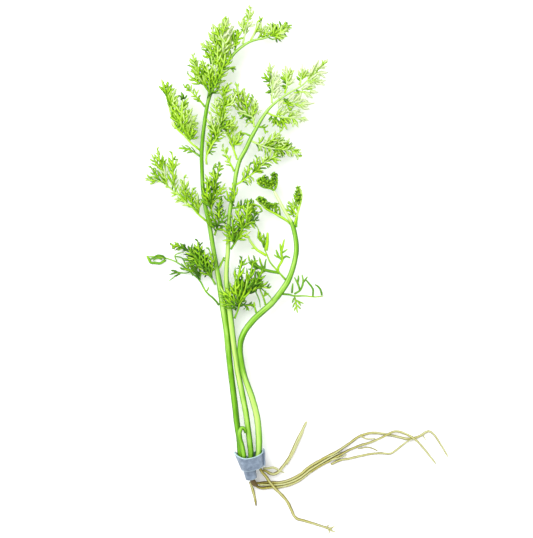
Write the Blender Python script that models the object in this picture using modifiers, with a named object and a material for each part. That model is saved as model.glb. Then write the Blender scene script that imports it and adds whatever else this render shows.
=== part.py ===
"""Bunch of water sprite, lying on its side on a flat surface.

Three long leaf stalks and a curled young one stand in a wound strip of soft metal.
Every point below is in the plan's millimetres: x to the right, y towards the tips
of the fronds, z up from the surface. The part's origin is the spot where the strip
rests on the surface, and the blades are lobed plates that fork as the leaves do.
"""
import math

import bmesh
import bpy
from mathutils import Vector

MM = 0.001

# Where the strip rests, in the plan: this spot becomes the part's origin.
REST_X = 0.9
REST_Y = 2.2

# The metal strip and how it is wound.
STRIP_WIDTH = 7.3
STRIP_THICKNESS = 0.7
BAND_FOOT = (1.5, -0.5, 5.75)
BAND_TILT = math.radians(17)
BAND_LEAN = math.radians(12.5)
STRIP_STEP = math.radians(22)
# Each key is: angle, radius at the low edge, flare at the high edge, sideways shift
# and place of the low edge along the axis. The narrow turn comes first, then the
# stretch that climbs on the table side, then the wide turn with its lapped end.
STRIP_KEYS = (
    (-125, 2.30, 0.30, -1.95, -5.8),
    (200, 2.70, 0.30, -1.95, -5.8),
    (330, 5.25, 1.30, 0.0, 0.0),
    (745, 6.17, 1.30, 0.0, 0.0),
)
TRIM_SIZE = 40.0

# Blades.
BLADE_THICKNESS = 0.8
RIB_HALF_WIDTH = 0.75
LOBE_HALF_WIDTH = 0.65
CORNER_LIMIT = 2.2

# A last stretch longer than this forks once more, with a side lobe that leaves it part
# of the way along; a rib point with no lobe of its own gets a short one.
FORK_STRETCH = 3.4
FORK_PLACE = 0.42
SIDE_LOBE_TURN = math.radians(44)
SIDE_LOBE_SHARE = 0.62
RIB_LOBE_TURN = math.radians(52)
RIB_LOBE_LENGTH = 3.0
LOBE_CLEARANCE = 2.1
EDGE_GAP = 0.3

STALK_SIDES = 8
ROOT_SIDES = 6

# The crown's cross sections: centre, half width and half height.
CROWN = (
    (-0.1, 1.9, 7.4, 3.3, 1.5),
    (-0.5, 1.2, 6.9, 2.3, 1.5),
    (-0.7, 0.3, 6.3, 1.5, 1.2),
    (0.0, -2.9, 5.2, 1.35, 1.3),
    (0.8, -6.6, 4.0, 1.3, 1.3),
    (1.6, -8.4, 3.4, 1.5, 1.3),
    (2.1, -9.2, 3.1, 1.1, 1.0),
)
CROWN_SIDES = 12

# Stalks: x, y, z and radius.
STALK_A = (
    (-3.6, 2.6, 7.4, 1.25), (-4.75, 5.5, 8.1, 1.45), (-5.25, 13, 8.0, 1.5),
    (-6, 18, 7.8, 1.5), (-6.75, 23, 7.4, 1.5), (-7.25, 28, 7.1, 1.5),
    (-8.5, 38, 6.7, 1.5), (-9.75, 48, 6.3, 1.5), (-10.85, 58, 6.0, 1.5),
    (-11.75, 68, 5.7, 1.55), (-13.25, 78, 5.5, 1.6), (-14.75, 88, 5.5, 1.5),
    (-16.5, 98, 5.6, 1.2), (-18.25, 108, 5.8, 1.1), (-19.5, 115.5, 6.0, 1.1),
    (-20.75, 123, 6.3, 1.05), (-22, 128, 6.5, 1.05), (-23.5, 138, 7.0, 1.0),
    (-24, 148, 7.5, 0.95), (-24.2, 155.5, 8.0, 0.95), (-23.75, 163, 8.5, 0.95),
    (-22.5, 173, 9.0, 0.95), (-21, 182, 9.5, 0.9), (-18.5, 189, 9.8, 0.85),
    (-16, 194, 10.0, 0.8), (-13.5, 198.5, 10.2, 0.75), (-11, 202, 10.4, 0.75),
    (-8, 206, 10.4, 0.7), (-5, 208.75, 10.4, 0.65), (-1, 211.5, 10.2, 0.6),
    (3, 213, 10.0, 0.55), (7, 213.75, 9.6, 0.5), (10.5, 214.8, 9.3, 0.45),
)
STALK_B = (
    (-0.3, 2.6, 8.3, 1.2), (0.5, 5.5, 9.0, 1.4), (-0.25, 13, 8.9, 1.45),
    (-0.85, 18, 8.8, 1.4), (-1.5, 23, 8.6, 1.4), (-2.25, 28, 8.5, 1.4),
    (-3.25, 33, 8.3, 1.4), (-4.25, 38, 8.1, 1.4), (-5.25, 43, 7.9, 1.4),
    (-6.25, 48, 7.7, 1.4), (-6.85, 53, 7.5, 1.4), (-7.75, 58, 7.4, 1.4),
    (-9, 68, 7.4, 1.4), (-10.25, 79, 7.5, 1.4), (-11, 85.5, 7.7, 1.3),
    (-11.75, 93, 8.0, 1.2), (-11.6, 100.5, 8.3, 1.1), (-11, 108, 8.6, 1.05),
    (-10.5, 123, 9.0, 1.0), (-9.75, 129, 9.1, 1.0), (-8.75, 134.5, 9.2, 1.0),
    (-7.75, 140.5, 9.3, 1.0), (-6.75, 147, 9.4, 1.0), (-5, 153, 9.5, 1.0),
    (-2.25, 158, 9.5, 1.0), (0, 163, 9.5, 1.0), (2.75, 168, 9.5, 0.95),
    (5.5, 173, 9.5, 0.95), (9, 178, 9.4, 0.85), (12.5, 181.5, 9.3, 0.8),
    (16.5, 184.5, 9.2, 0.75), (20.5, 187, 9.1, 0.7), (25, 189.5, 9.0, 0.65),
    (29, 193, 8.8, 0.6), (33, 197, 8.6, 0.5), (36.5, 200.5, 8.3, 0.4),
    (39, 203.5, 8.0, 0.3),
)
STALK_C = (
    (2.5, 2.8, 7.9, 1.2), (4.2, 5.5, 8.4, 1.4), (4.5, 13, 8.4, 1.6),
    (4.25, 18, 8.4, 1.55), (3.75, 23, 8.5, 1.55), (2.75, 28, 8.6, 1.5),
    (1.4, 33, 8.8, 1.5), (-0.25, 38, 9.1, 1.45), (-2.1, 43, 9.5, 1.4),
    (-3.5, 48, 9.9, 1.4), (-4.35, 53, 10.1, 1.35), (-4.9, 58, 10.1, 1.35),
    (-4.4, 63, 9.9, 1.45), (-2.25, 68, 9.3, 1.55), (1.75, 73, 8.7, 1.55),
    (6, 77, 8.2, 1.5), (10, 80.5, 7.8, 1.5), (13.5, 84.5, 7.5, 1.5),
    (16.5, 88.5, 7.3, 1.45), (19, 92.5, 7.1, 1.4), (21, 97.5, 7.0, 1.3),
    (22.5, 103, 7.0, 1.25), (23.25, 108, 7.0, 1.25), (23, 113, 7.2, 1.2),
    (22, 118, 7.4, 1.15), (20.7, 121.6, 7.6, 1.0),
)
STALK_HOOK = (
    (-2.7, 3.9, 10.7, 0.9), (-3, 5.5, 11.6, 1.2), (-3.5, 8, 11.8, 1.2),
    (-4, 10.5, 11.7, 1.2), (-5, 14, 11.5, 1.15), (-5.25, 16.5, 11.4, 1.1),
    (-4.5, 18.75, 11.3, 1.0), (-3.5, 19.25, 11.2, 0.85), (-2.6, 18, 11.1, 0.7),
    (-2.4, 16.5, 11.0, 0.45),
)

# Roots: x, y, z and radius.
ROOTS = {
    "root_upper": (
        (6.2, -2.6, 3.6, 0.7), (8.4, -2.2, 3.4, 0.85), (11.2, -1.8, 2.8, 0.9),
        (14, -2.4, 2.4, 0.95), (15.7, -2.6, 1.8, 0.95), (18.5, 1.5, 1.3, 0.9),
        (21, 6.5, 1.0, 0.9), (24, 13, 0.85, 0.85), (26.5, 18, 0.75, 0.75),
        (28.5, 22, 0.6, 0.55),
    ),
    "root_lower": (
        (4.6, -0.3, 6.6, 0.7), (5.4, -2.0, 7.0, 0.85), (6.2, -3.4, 5.6, 0.9),
        (8, -5.5, 4.2, 0.9), (10, -8.5, 3.4, 0.9), (12.5, -11.5, 3.3, 0.9),
        (15.5, -14.5, 2.4, 0.85), (18.5, -18, 1.3, 0.85), (20.5, -22, 0.9, 0.8),
        (23, -26.5, 0.8, 0.8), (27.5, -28, 0.75, 0.75), (34, -30, 0.7, 0.65),
        (41, -32.3, 0.6, 0.6),
    ),
    "root_stub": (
        (0.6, -10.2, 2.3, 0.75), (1.5, -13, 1.4, 0.8), (2.5, -17, 0.8, 0.7),
        (3, -20.5, 0.5, 0.4),
    ),
    "root_strand_a": (
        (3.6, -8.9, 2.7, 0.8), (6, -8.8, 2.0, 0.85), (10, -8.7, 1.1, 0.9),
        (15, -8.8, 0.9, 0.9), (20, -7.4, 0.9, 0.9), (25, -4.8, 0.9, 0.9),
        (30, -0.8, 0.9, 0.9), (35, 2.2, 0.9, 0.9), (40, 4.9, 0.9, 0.85),
        (45, 7.6, 0.85, 0.8), (50, 11, 0.8, 0.75), (55, 14.5, 0.75, 0.7),
        (60, 16, 0.7, 0.7), (65, 16, 0.7, 0.7), (70, 15.1, 0.7, 0.7),
        (75, 14, 0.7, 0.7), (80, 13.1, 0.7, 0.7), (85, 14.5, 0.7, 0.65),
        (88, 16.4, 0.65, 0.65), (90, 17, 0.65, 0.6), (92.5, 15.2, 0.6, 0.55),
        (95, 11.5, 0.55, 0.5), (97.5, 7.5, 0.5, 0.5), (99.5, 4, 0.4, 0.35),
    ),
    "root_strand_b": (
        (2.9, -11.2, 2.2, 0.8), (6, -11.4, 1.4, 0.9), (10, -11.0, 0.95, 0.9),
        (15, -10.9, 0.9, 0.9), (20, -9.8, 0.9, 0.9), (25, -7.4, 0.9, 0.9),
        (30, -3.6, 0.9, 0.85), (35, -0.4, 0.9, 0.85), (40, 2.3, 0.85, 0.8),
        (45, 5.0, 0.8, 0.75), (50, 7.7, 0.75, 0.7), (55, 9.8, 0.7, 0.7),
        (60, 11.3, 0.9, 0.65), (65, 13.4, 1.9, 0.65), (68, 14.9, 2.5, 0.65),
        (71, 16.5, 2.3, 0.65), (74, 17, 1.5, 0.65), (78, 15.8, 2.1, 0.65),
        (81, 14.2, 2.5, 0.65), (84, 12, 2.0, 0.6), (88.5, 6.8, 0.6, 0.55),
        (91, 3.6, 0.5, 0.5), (93.5, 0.5, 0.4, 0.35),
    ),
    "root_strand_c": (
        (40.6, 0.3, 0.7, 0.6), (45, 2.4, 0.7, 0.7), (50, 3.3, 0.65, 0.65),
        (55, 4.5, 0.65, 0.65), (60, 5.5, 0.6, 0.6), (65, 6, 0.6, 0.6),
        (70, 5.7, 0.6, 0.55), (73, 7.2, 0.55, 0.55), (75.5, 9.2, 0.5, 0.5),
        (78, 11.2, 0.45, 0.4),
    ),
    "root_thread": (
        (54.2, 8.2, 0.4, 0.35), (58.5, 8.9, 0.35, 0.35), (61.5, 8.4, 0.35, 0.35),
        (64, 7.2, 0.3, 0.3),
    ),
}

# Blades. "rib" runs from the stalk to the tip, as x, y, z and, where it is not the
# usual one, half width. "lobes" fork off it: the rib point they leave from, their own
# points, and any lobes of their own.
PINNAE_A = (
    {
        "rib": ((-16.2, 81.2, 5.4), (-18, 83.5, 5.2), (-22, 87, 4.8), (-25, 92.5, 4.0),
                (-27.5, 95, 3.3), (-32.5, 99, 2.2), (-37, 102, 1.4), (-42.5, 104, 0.8),
                (-51.5, 105, 0.4)),
        "lobes": ((1, ((-17, 85.4, 6.0),)), (3, ((-23.8, 96.2, 3.8),)),
                  (4, ((-30, 100.5, 4.0),)),
                  (5, ((-37.5, 96.5, 1.0), (-41.5, 96, 0.5)), ((0, ((-41, 92.5, 0.4),)),)),
                  (6, ((-38, 105.5, 2.6), (-33.8, 107, 3.4))),
                  (7, ((-49.5, 101.6, 0.4),))),
    },
    {
        "rib": ((-17.8, 91.6, 6.0), (-19.0, 93.7, 6.3), (-21.5, 97, 7.0), (-25, 101, 7.6),
                (-27.5, 104.5, 7.6), (-30, 107, 7.2), (-33, 109, 6.4), (-40, 110.5, 4.5)),
        "lobes": ((1, ((-18.8, 99.5, 9.0), (-20.4, 108.8, 10.5))),
                  (2, ((-22.5, 103, 10.0), (-23, 108.2, 11.5))),
                  (3, ((-25.3, 107.5, 10.0), (-26, 113, 11.0))),
                  (3, ((-30.5, 102.6, 6.0), (-33.6, 104, 5.2))),
                  (6, ((-35, 111.8, 6.6),))),
    },
    {
        "rib": ((-17.4, 116.4, 6.4), (-16.5, 119, 7.0), (-15.5, 122, 7.8), (-15.5, 127, 9.0),
                (-14.8, 133, 10.0)),
        "lobes": ((1, ((-12.9, 117.6, 7.4),)), (2, ((-18.2, 126.5, 9.0),)),
                  (3, ((-13.2, 129.5, 9.2),))),
    },
    {
        "rib": ((-22.7, 123.2, 6.4), (-26, 126, 6.2), (-28.5, 129, 6.0), (-31.5, 131.5, 5.5),
                (-35, 135, 4.8), (-39, 138, 4.0), (-42.5, 141, 3.0), (-46, 143, 1.8),
                (-52.5, 143.5, 0.4)),
        "lobes": ((1, ((-26, 132, 7.2), (-26.2, 137, 8.0))),
                  (2, ((-29.4, 134, 7.0), (-28.6, 139.5, 8.0))),
                  (3, ((-33, 138, 7.0), (-33, 144.5, 8.0)),
                   ((0, ((-30.4, 143, 7.6),)), (0, ((-35.4, 143, 7.6),)))),
                  (3, ((-38.5, 133.6, 3.6),)),
                  (5, ((-38.5, 147, 7.0), (-39, 158, 9.0)),
                   ((0, ((-35.6, 154, 8.0),)), (0, ((-41, 153, 8.0),)))),
                  (6, ((-44, 148.5, 5.0), (-46.5, 159.5, 7.0)),
                   ((0, ((-43.4, 155, 6.5),)), (0, ((-49.5, 156.5, 6.0),)))),
                  (7, ((-50, 150, 3.6),))),
    },
    {
        "rib": ((-19.4, 126.4, 7.0), (-19.2, 130.5, 8.6), (-18.2, 135.5, 10.0),
                (-17, 141, 11.0), (-16, 147, 12.0), (-14.6, 151.5, 12.5)),
        "lobes": ((1, ((-21.4, 135.5, 11.0), (-21.4, 144, 12.5))),
                  (2, ((-13.8, 139.5, 11.2),)), (3, ((-18.7, 149, 12.5),)),
                  (4, ((-13.4, 149, 12.2),))),
    },
    {
        "rib": ((-25.6, 158.4, 8.4), (-30, 162, 8.8), (-33, 165.5, 9.0), (-36.5, 168.5, 9.0),
                (-39, 174, 8.5), (-40.5, 179.5, 8.0), (-41.5, 184, 7.5), (-43, 188, 7.0),
                (-44.5, 193.5, 6.5)),
        "lobes": ((1, ((-27.4, 167, 11.0), (-26.6, 173, 12.5))),
                  (2, ((-30, 172, 11.5), (-28, 179.2, 13.0)), ((0, ((-26.2, 176, 12.6),)),)),
                  (3, ((-33.5, 175.5, 11.0), (-31.6, 183.4, 12.0))),
                  (4, ((-35.4, 181, 10.5), (-36, 189, 11.0))),
                  (6, ((-38.2, 190, 9.0),)), (6, ((-41, 192.8, 8.5),))),
    },
    {
        "rib": ((-25.7, 155.4, 7.6), (-30, 158.0, 6.4), (-36, 159, 5.0)),
        "lobes": ((1, ((-33, 156.4, 5.4),)),),
    },
    {
        "rib": ((-21.7, 151.8, 8.5), (-21.9, 154.5, 9.0), (-19.5, 159.5, 10.5),
                (-17, 163.5, 11.6), (-15, 167.5, 12.2), (-14, 174, 12.6), (-13, 179, 13.0),
                (-13.5, 184.5, 13.0), (-13, 189.5, 13.0)),
        "lobes": ((3, ((-18.8, 170, 13.5), (-19.5, 177, 15.0))),
                  (4, ((-10, 170.5, 14.0), (-7, 173.8, 15.0))),
                  (5, ((-17, 178, 14.0), (-17.6, 184, 15.0))),
                  (6, ((-9, 181, 16.0), (-6, 187, 17.5)), ((0, ((-5.4, 181.4, 17.0),)),)),
                  (7, ((-10, 190.5, 15.0),))),
    },
    {
        "rib": ((-23.2, 180.4, 9.8), (-25, 182.6, 11.0), (-27, 184.6, 12.4),
                (-29.5, 187, 13.6), (-33, 190, 14.6)),
        "lobes": ((1, ((-28.6, 183.4, 14.4),)), (2, ((-25.4, 188, 13.4),)),
                  (3, ((-29, 190.6, 14.2),))),
    },
    {
        "rib": ((-21, 187.8, 9.8), (-23, 190.5, 10.2), (-25, 194, 10.6), (-26.5, 199, 11.0),
                (-28.5, 205.5, 11.5)),
        "lobes": ((1, ((-27.5, 192.6, 10.4), (-31.5, 196, 10.6))),
                  (2, ((-30, 200, 10.6),)),
                  (2, ((-22.8, 198, 12.0), (-23.6, 203.4, 13.0))),
                  (3, ((-30.4, 204, 11.2),))),
    },
    {
        "rib": ((-19.2, 191.9, 10.8), (-18.4, 195.5, 11.6), (-19, 203, 12.6),
                (-20.5, 208, 13.2), (-25, 211, 13.4)),
        "lobes": ((1, ((-15.8, 201, 13.6),)), (2, ((-22.6, 207.4, 13.0),)),
                  (3, ((-21.6, 212, 13.6),))),
    },
    {
        "rib": ((-14.9, 199.2, 10.8), (-15, 203, 12.0), (-13.6, 208, 13.4),
                (-14, 215.5, 14.6), (-14, 223, 15.4)),
        "lobes": ((1, ((-17.6, 211, 14.0), (-18.5, 221, 15.0)), ((0, ((-20, 216, 14.4),)),)),
                  (3, ((-10.5, 224.5, 15.6),))),
    },
    {
        "rib": ((-11.0, 205.1, 10.7), (-10.6, 209.5, 11.2), (-9.4, 214, 11.8),
                (-9, 220.5, 12.2)),
        "lobes": ((1, ((-12.2, 215, 12.0),)), (2, ((-7, 218, 12.0),))),
    },
    {
        "rib": ((-7.4, 208.6, 10.3), (-6.0, 213.4, 9.8), (-5.6, 218, 9.6)),
        "lobes": ((1, ((-8, 215, 9.8),)),),
    },
    {
        "rib": ((-3.4, 211.7, 10.6), (-2.6, 215.5, 11.0), (-2, 218.5, 11.6),
                (-0.5, 223, 12.0), (0, 229, 12.4)),
        "lobes": ((1, ((-3.6, 224, 12.4),)), (3, ((1.8, 226.6, 12.0),)),
                  (3, ((-2, 227, 12.4),)), (2, ((1.8, 223, 11.6),))),
    },
    {
        "rib": ((0.9, 213.6, 10.3), (2.3, 216.5, 10.6), (4.4, 222, 11.0)),
        "lobes": ((1, ((5.2, 218, 10.2), (5.6, 222.6, 10.0))),),
    },
    {
        "rib": ((11.5, 215.4, 9.0), (14, 216.6, 8.6), (17, 218.2, 8.3), (19.2, 220, 8.0)),
        "lobes": ((1, ((11, 218.6, 8.8), (10, 221.6, 8.8))), (1, ((13.8, 220.6, 8.6),)),
                  (2, ((17, 221.6, 8.2),)), (2, ((20, 218.4, 8.0),)),
                  (1, ((16.5, 213.4, 8.2),))),
    },
    {
        "rib": ((-12.3, 197.2, 10.2), (-9.5, 199.1, 9.6), (-7, 199.5, 9.0)),
        "lobes": ((1, ((-8.4, 196.8, 9.0),)),),
    },
)
PINNAE_B = (
    {
        "rib": ((-6.7, 154.0, 9.6), (-8.5, 159, 10.0), (-10, 163, 10.2), (-12, 167, 10.2),
                (-14, 175.5, 9.6)),
        "lobes": ((1, ((-6, 162.6, 11.6), (-5.2, 167.4, 12.4))),
                  (2, ((-8.2, 170, 11.0), (-8.6, 175, 11.6)))),
    },
    {
        "rib": ((-8.3, 148.2, 9.2), (-10, 151.5, 9.4), (-12, 155.5, 9.4), (-14, 160.5, 9.0)),
        "lobes": ((1, ((-12.8, 152.6, 9.0),)), (2, ((-10.8, 159.2, 9.0),))),
    },
    {
        "rib": ((-7.3, 74.8, 7.9), (-6, 78, 8.6), (-5, 81.5, 9.6), (-2.5, 84.5, 10.6),
                (1, 87.5, 11.5), (5, 89.5, 12.0), (10, 88.6, 12.5)),
        "lobes": ((2, ((-5.6, 90.5, 12.0), (-4.6, 99, 14.5), (-3.8, 105.5, 16.0)),
                   ((0, ((-8.2, 95.5, 12.6),)), (1, ((-1.6, 104, 15.0),)))),
                  (3, ((-0.6, 93, 13.5), (1, 99, 15.0), (2.5, 104, 15.5)),
                   ((0, ((-2, 97.6, 14.0),)),)),
                  (4, ((4.4, 94.4, 13.5), (6.4, 99.4, 14.5))),
                  (5, ((8.8, 92, 13.0),))),
    },
    {
        "rib": ((-8.9, 84.6, 7.2), (-6, 82.6, 6.8), (-2.5, 80.4, 6.4), (3, 80.4, 6.0)),
        "lobes": ((1, ((-4.4, 85.6, 6.0),)), (2, ((-0.5, 77.4, 5.6),))),
    },
    {
        "rib": ((-9.0, 109.3, 9.0), (-8, 110.8, 9.4), (-6, 114, 10.0), (-4.5, 117.5, 11.0),
                (-2.5, 120, 11.5), (0, 121.8, 11.5), (3, 122, 11.0)),
        "lobes": ((1, ((-8.6, 117, 11.4), (-9, 124.5, 12.6))),
                  (3, ((-5.4, 123.5, 13.0), (-5, 130, 14.0)), ((0, ((-7.4, 127.6, 13.4),)),)),
                  (4, ((-1.6, 126, 13.0), (-0.5, 133, 14.0)), ((0, ((1.6, 130, 13.0),)),)),
                  (5, ((2.8, 118.4, 10.6),))),
    },
    {
        "rib": ((-13.3, 103.4, 9.0), (-14.4, 101, 8.8), (-15.2, 98.8, 8.6)),
        "lobes": ((1, ((-13.2, 98.6, 8.4),)),),
    },
    {
        "rib": ((-6, 141.2, 9.6), (-3.5, 142.6, 9.8), (-1, 144.5, 10.0), (2.5, 147, 10.4),
                (6, 150.5, 10.8), (10, 153.5, 11.0), (14, 155.5, 11.0)),
        "lobes": ((1, ((-3.2, 148, 11.6),)), (2, ((0.2, 141.2, 9.6),)),
                  (2, ((-0.2, 151, 12.0),)), (3, ((3.4, 154.6, 12.2),)),
                  (3, ((6.4, 146.4, 10.2),)), (4, ((7.6, 156.6, 11.8),)),
                  (4, ((10.2, 149.8, 10.4),)), (5, ((15.6, 152.8, 10.6),))),
    },
    {
        "rib": ((-8.2, 129, 9.3), (-5.6, 129.3, 9.5), (-1.5, 130.5, 9.5), (4, 130.4, 9.2)),
        "lobes": ((1, ((-5.8, 132.6, 9.8),)), (2, ((-1.5, 134, 9.8),)),
                  (2, ((0.8, 127.2, 9.2), (5.6, 126.8, 8.8)))),
    },
    {
        "rib": ((1.5, 162.1, 9.4), (4, 161, 9.2), (8, 159.5, 8.9), (12.5, 158.5, 8.6),
                (17.5, 158, 8.2), (21.5, 158, 7.8), (24.4, 154.5, 7.4)),
        "lobes": ((1, ((6.5, 165, 9.8),)), (1, ((5.6, 157.2, 8.4),)),
                  (2, ((11, 163, 9.6), (15.5, 167.3, 10.0))),
                  (3, ((15.5, 162, 9.0), (19.8, 162.4, 8.8))), (3, ((14.2, 154.6, 8.0),)),
                  (4, ((20, 154.4, 7.6),)), (5, ((24.6, 158.4, 7.4),))),
    },
    {
        "rib": ((-0.7, 165.4, 9.6), (-2.6, 166.2, 9.4), (-6, 166.8, 8.8)),
        "lobes": ((1, ((-4.4, 164.4, 8.8),)),),
    },
    {
        "rib": ((2.0, 170.4, 9.8), (1.6, 172.4, 10.1), (1.2, 174.4, 10.5), (-1.4, 175.4, 11.0),
                (-5, 177, 11.5), (-7.4, 180.4, 12.0)),
        "lobes": ((1, ((-1.2, 171.4, 10.2), (-2.8, 169.0, 10.2))),
                  (2, ((2.4, 179.5, 12.0), (1, 184.6, 12.6)), ((0, ((4.4, 181.4, 11.8),)),)),
                  (3, ((-2.4, 183, 12.6), (-3.4, 189, 13.2))),
                  (4, ((-6, 186, 13.0), (-7.4, 192, 13.6)))),
    },
    {
        "rib": ((5.4, 169.4, 9.5), (7, 168.9, 9.3), (7.8, 166, 9.0)),
        "lobes": ((1, ((9.2, 170.6, 9.2),)),),
    },
    {
        "rib": ((9.7, 176.0, 9.2), (11.7, 175.1, 9.0), (15, 174.5, 8.6), (20, 174, 8.2),
                (25, 173.5, 7.8), (29, 173, 7.4)),
        "lobes": ((1, ((11.5, 170, 8.4),)), (2, ((15.3, 168.5, 8.0),)),
                  (2, ((17.6, 177.4, 8.2),)), (3, ((19.4, 169, 7.6),)),
                  (3, ((23.6, 177, 7.6),)), (4, ((24.6, 169.6, 7.2),)),
                  (4, ((27.6, 176, 7.2),))),
    },
    {
        "rib": ((10.9, 182.4, 9.5), (10.8, 184.6, 9.7), (11, 188, 10.0), (10, 193, 10.2),
                (9.5, 202, 10.5)),
        "lobes": ((1, ((7, 182.2, 9.2),)), (2, ((6.8, 187, 9.8),)),
                  (2, ((13.2, 192, 10.4), (13.6, 198, 10.8))),
                  (3, ((6.4, 197, 10.2),)), (3, ((11.8, 197.4, 10.4),))),
    },
    {
        "rib": ((15.6, 181.5, 9.2), (18.5, 181.2, 9.2), (22.5, 181, 9.2), (27.5, 180.4, 8.9),
                (32.5, 181.5, 8.5)),
        "lobes": ((1, ((20.6, 178.6, 9.4),)), (2, ((25.6, 183.4, 9.2),)),
                  (3, ((30, 178.4, 8.7),))),
    },
    {
        "rib": ((17.6, 187.3, 9.3), (18.4, 190.5, 9.7), (18, 195.5, 9.9), (17.5, 200.5, 10.1)),
        "lobes": ((1, ((16, 196.6, 9.8),)), (1, ((21.2, 193.6, 9.5),)),
                  (2, ((20.2, 199.6, 10.0),))),
    },
    {
        "rib": ((22.9, 186.5, 9.1), (26.5, 187, 8.9), (29, 186, 8.7), (31.4, 183.9, 8.3)),
        "lobes": ((1, ((26.4, 184.6, 9.0),)), (2, ((34, 187, 8.3),))),
    },
    {
        "rib": ((25, 191.4, 9.1), (25.5, 194, 9.4), (26, 197, 9.6), (26, 201.4, 9.8)),
        "lobes": ((1, ((23.4, 198, 9.4),)), (2, ((29, 199.4, 9.6),))),
    },
    {
        "rib": ((29.9, 191.9, 8.8), (32.5, 192.5, 8.6), (38, 192.7, 8.0)),
        "lobes": ((1, ((33.2, 189.4, 8.2),)), (1, ((36, 190.6, 8.2),)),
                  (1, ((38.8, 196.2, 8.0),))),
    },
    {
        "rib": ((31.0, 197.4, 9.0), (32.2, 199.8, 9.2), (34.5, 203.2, 9.2)),
        "lobes": ((1, ((30.2, 201, 9.0),)),),
    },
)
PINNAE_C = (
    {
        "rib": ((17.1, 93.9, 7.2), (15, 96.2, 7.4), (12.5, 99, 7.6), (10, 102, 8.0),
                (8.5, 105.5, 8.2), (7.5, 108, 8.3), (6, 113, 8.4), (3.5, 120, 8.4)),
        "lobes": ((1, ((10, 97.2, 7.0), (6, 98.4, 6.8), (2.5, 100.5, 6.6), (-1, 102, 6.4)),
                   ((1, ((7.4, 101.6, 6.8),)),)),
                  (2, ((14.6, 104, 8.5), (16.5, 113, 9.5)),
                   ((0, ((12.8, 108.2, 9.0),)), (0, ((19, 108.5, 9.0),)))),
                  (4, ((4, 107.2, 8.0), (0.5, 109, 8.0))),
                  (5, ((1.6, 111.6, 8.0), (-1.4, 115.6, 7.8))),
                  (6, ((8.5, 117, 8.6),))),
    },
    {
        "rib": ((17.4, 85.9, 7.2), (19.6, 85.7, 6.8), (22.5, 85, 6.0), (27.5, 85, 4.5),
                (32.5, 84.5, 2.5), (37, 85, 0.4)),
        "lobes": ((2, ((24, 91, 7.0), (26, 95.5, 7.0)), ((0, ((23.0, 94.2, 7.0),)),)),
                  (2, ((23.2, 81, 5.0), (24.4, 77.6, 4.4), (23.6, 74.6, 4.0)),
                   ((0, ((26.4, 79.8, 4.6),)), (1, ((26.6, 75.4, 4.0),)))),
                  (3, ((27.6, 93, 5.4),)), (4, ((33, 90.5, 3.5),))),
    },
    {
        "rib": ((7.5, 81.6, 8.2), (6.6, 84.6, 8.6), (5.2, 88, 8.8), (4.2, 92, 9.0)),
        "lobes": ((1, ((9.6, 86.4, 8.6),)),),
    },
    {
        "rib": ((2.9, 77.5, 8.8), (2.2, 80, 9.0), (2.0, 82.2, 8.8)),
        "lobes": ((1, ((0, 80.8, 9.0),)),),
    },
    {
        "rib": ((19.6, 123.6, 8.7), (17.2, 127.8, 9.0), (14.5, 132, 8.9), (13, 135.5, 9.0),
                (11.6, 138.2, 9.0, 1.3), (9, 141, 9.0, 2.2), (6, 142.6, 8.8, 1.6),
                (3.6, 143, 8.4)),
        "lobes": ((4, ((12, 143, 9.4, 1.5), (11.8, 147, 9.4))),),
        "thickness": 1.6,
    },
    {
        "rib": ((18.7, 122.4, 6.6), (14, 125.2, 6.2), (10, 128, 6.2, 1.0),
                (6.8, 130.8, 6.2, 1.8), (4.4, 133, 6.2, 1.2), (2.6, 133.4, 6.2)),
        "lobes": ((1, ((13.2, 130, 6.4),)), (2, ((10, 132.4, 6.4),))),
        "thickness": 1.4,
    },
    {
        "rib": ((23.2, 120.4, 7.6), (23.7, 125.5, 7.8), (24.8, 130.5, 8.0, 1.2),
                (25.3, 134.5, 8.2, 1.7), (24.6, 139.5, 8.4)),
        "lobes": ((1, ((21, 129, 8.2), (19.4, 132.6, 8.6))),
                  (2, ((21.6, 134, 8.6),)), (3, ((21.8, 136.8, 8.4),))),
        "thickness": 1.4,
    },
)

LEAF_GREEN = (0.25, 0.55, 0.06, 1)
STALK_GREEN = (0.38, 0.66, 0.10, 1)
ROOT_TAN = (0.52, 0.47, 0.20, 1)
CROWN_BROWN = (0.10, 0.06, 0.02, 1)
STRIP_GREY = (0.30, 0.42, 0.50, 1)


def at(x, y, z):
    """A point of the plan, in the part's metres."""
    return Vector(((x - REST_X) * MM, (y - REST_Y) * MM, z * MM))


def clear_scene():
    """Start from nothing."""
    for obj in list(bpy.data.objects):
        bpy.data.objects.remove(obj, do_unlink=True)


def collection(name):
    """A new collection of the scene."""
    made = bpy.data.collections.new(name)
    bpy.context.scene.collection.children.link(made)
    return made


def material(name, colour, roughness, metallic=0.0):
    """A plain finish for a sub-part."""
    made = bpy.data.materials.new(name)
    made.use_nodes = True
    shader = made.node_tree.nodes["Principled BSDF"]
    shader.inputs["Base Color"].default_value = colour
    shader.inputs["Roughness"].default_value = roughness
    shader.inputs["Metallic"].default_value = metallic
    return made


def mesh_object(name, bm, finish, into):
    """The object for a built mesh."""
    mesh = bpy.data.meshes.new(name)
    bm.to_mesh(mesh)
    bm.free()
    obj = bpy.data.objects.new(name, mesh)
    obj.data.materials.append(finish)
    into.objects.link(obj)
    return obj


def round_tube(name, points, sides, finish, into):
    """A stalk or root: a round tube through its points, each with its own radius."""
    curve = bpy.data.curves.new(name, "CURVE")
    curve.dimensions = "3D"
    curve.bevel_depth = 1.0
    curve.bevel_resolution = sides // 2 - 2
    curve.use_fill_caps = True
    spline = curve.splines.new("POLY")
    spline.points.add(len(points) - 1)
    for slot, (x, y, z, radius) in zip(spline.points, points):
        slot.co = (*at(x, y, z), 1)
        slot.radius = radius * MM
    spline.use_smooth = True
    obj = bpy.data.objects.new(name, curve)
    curve.materials.append(finish)
    into.objects.link(obj)
    return obj


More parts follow.
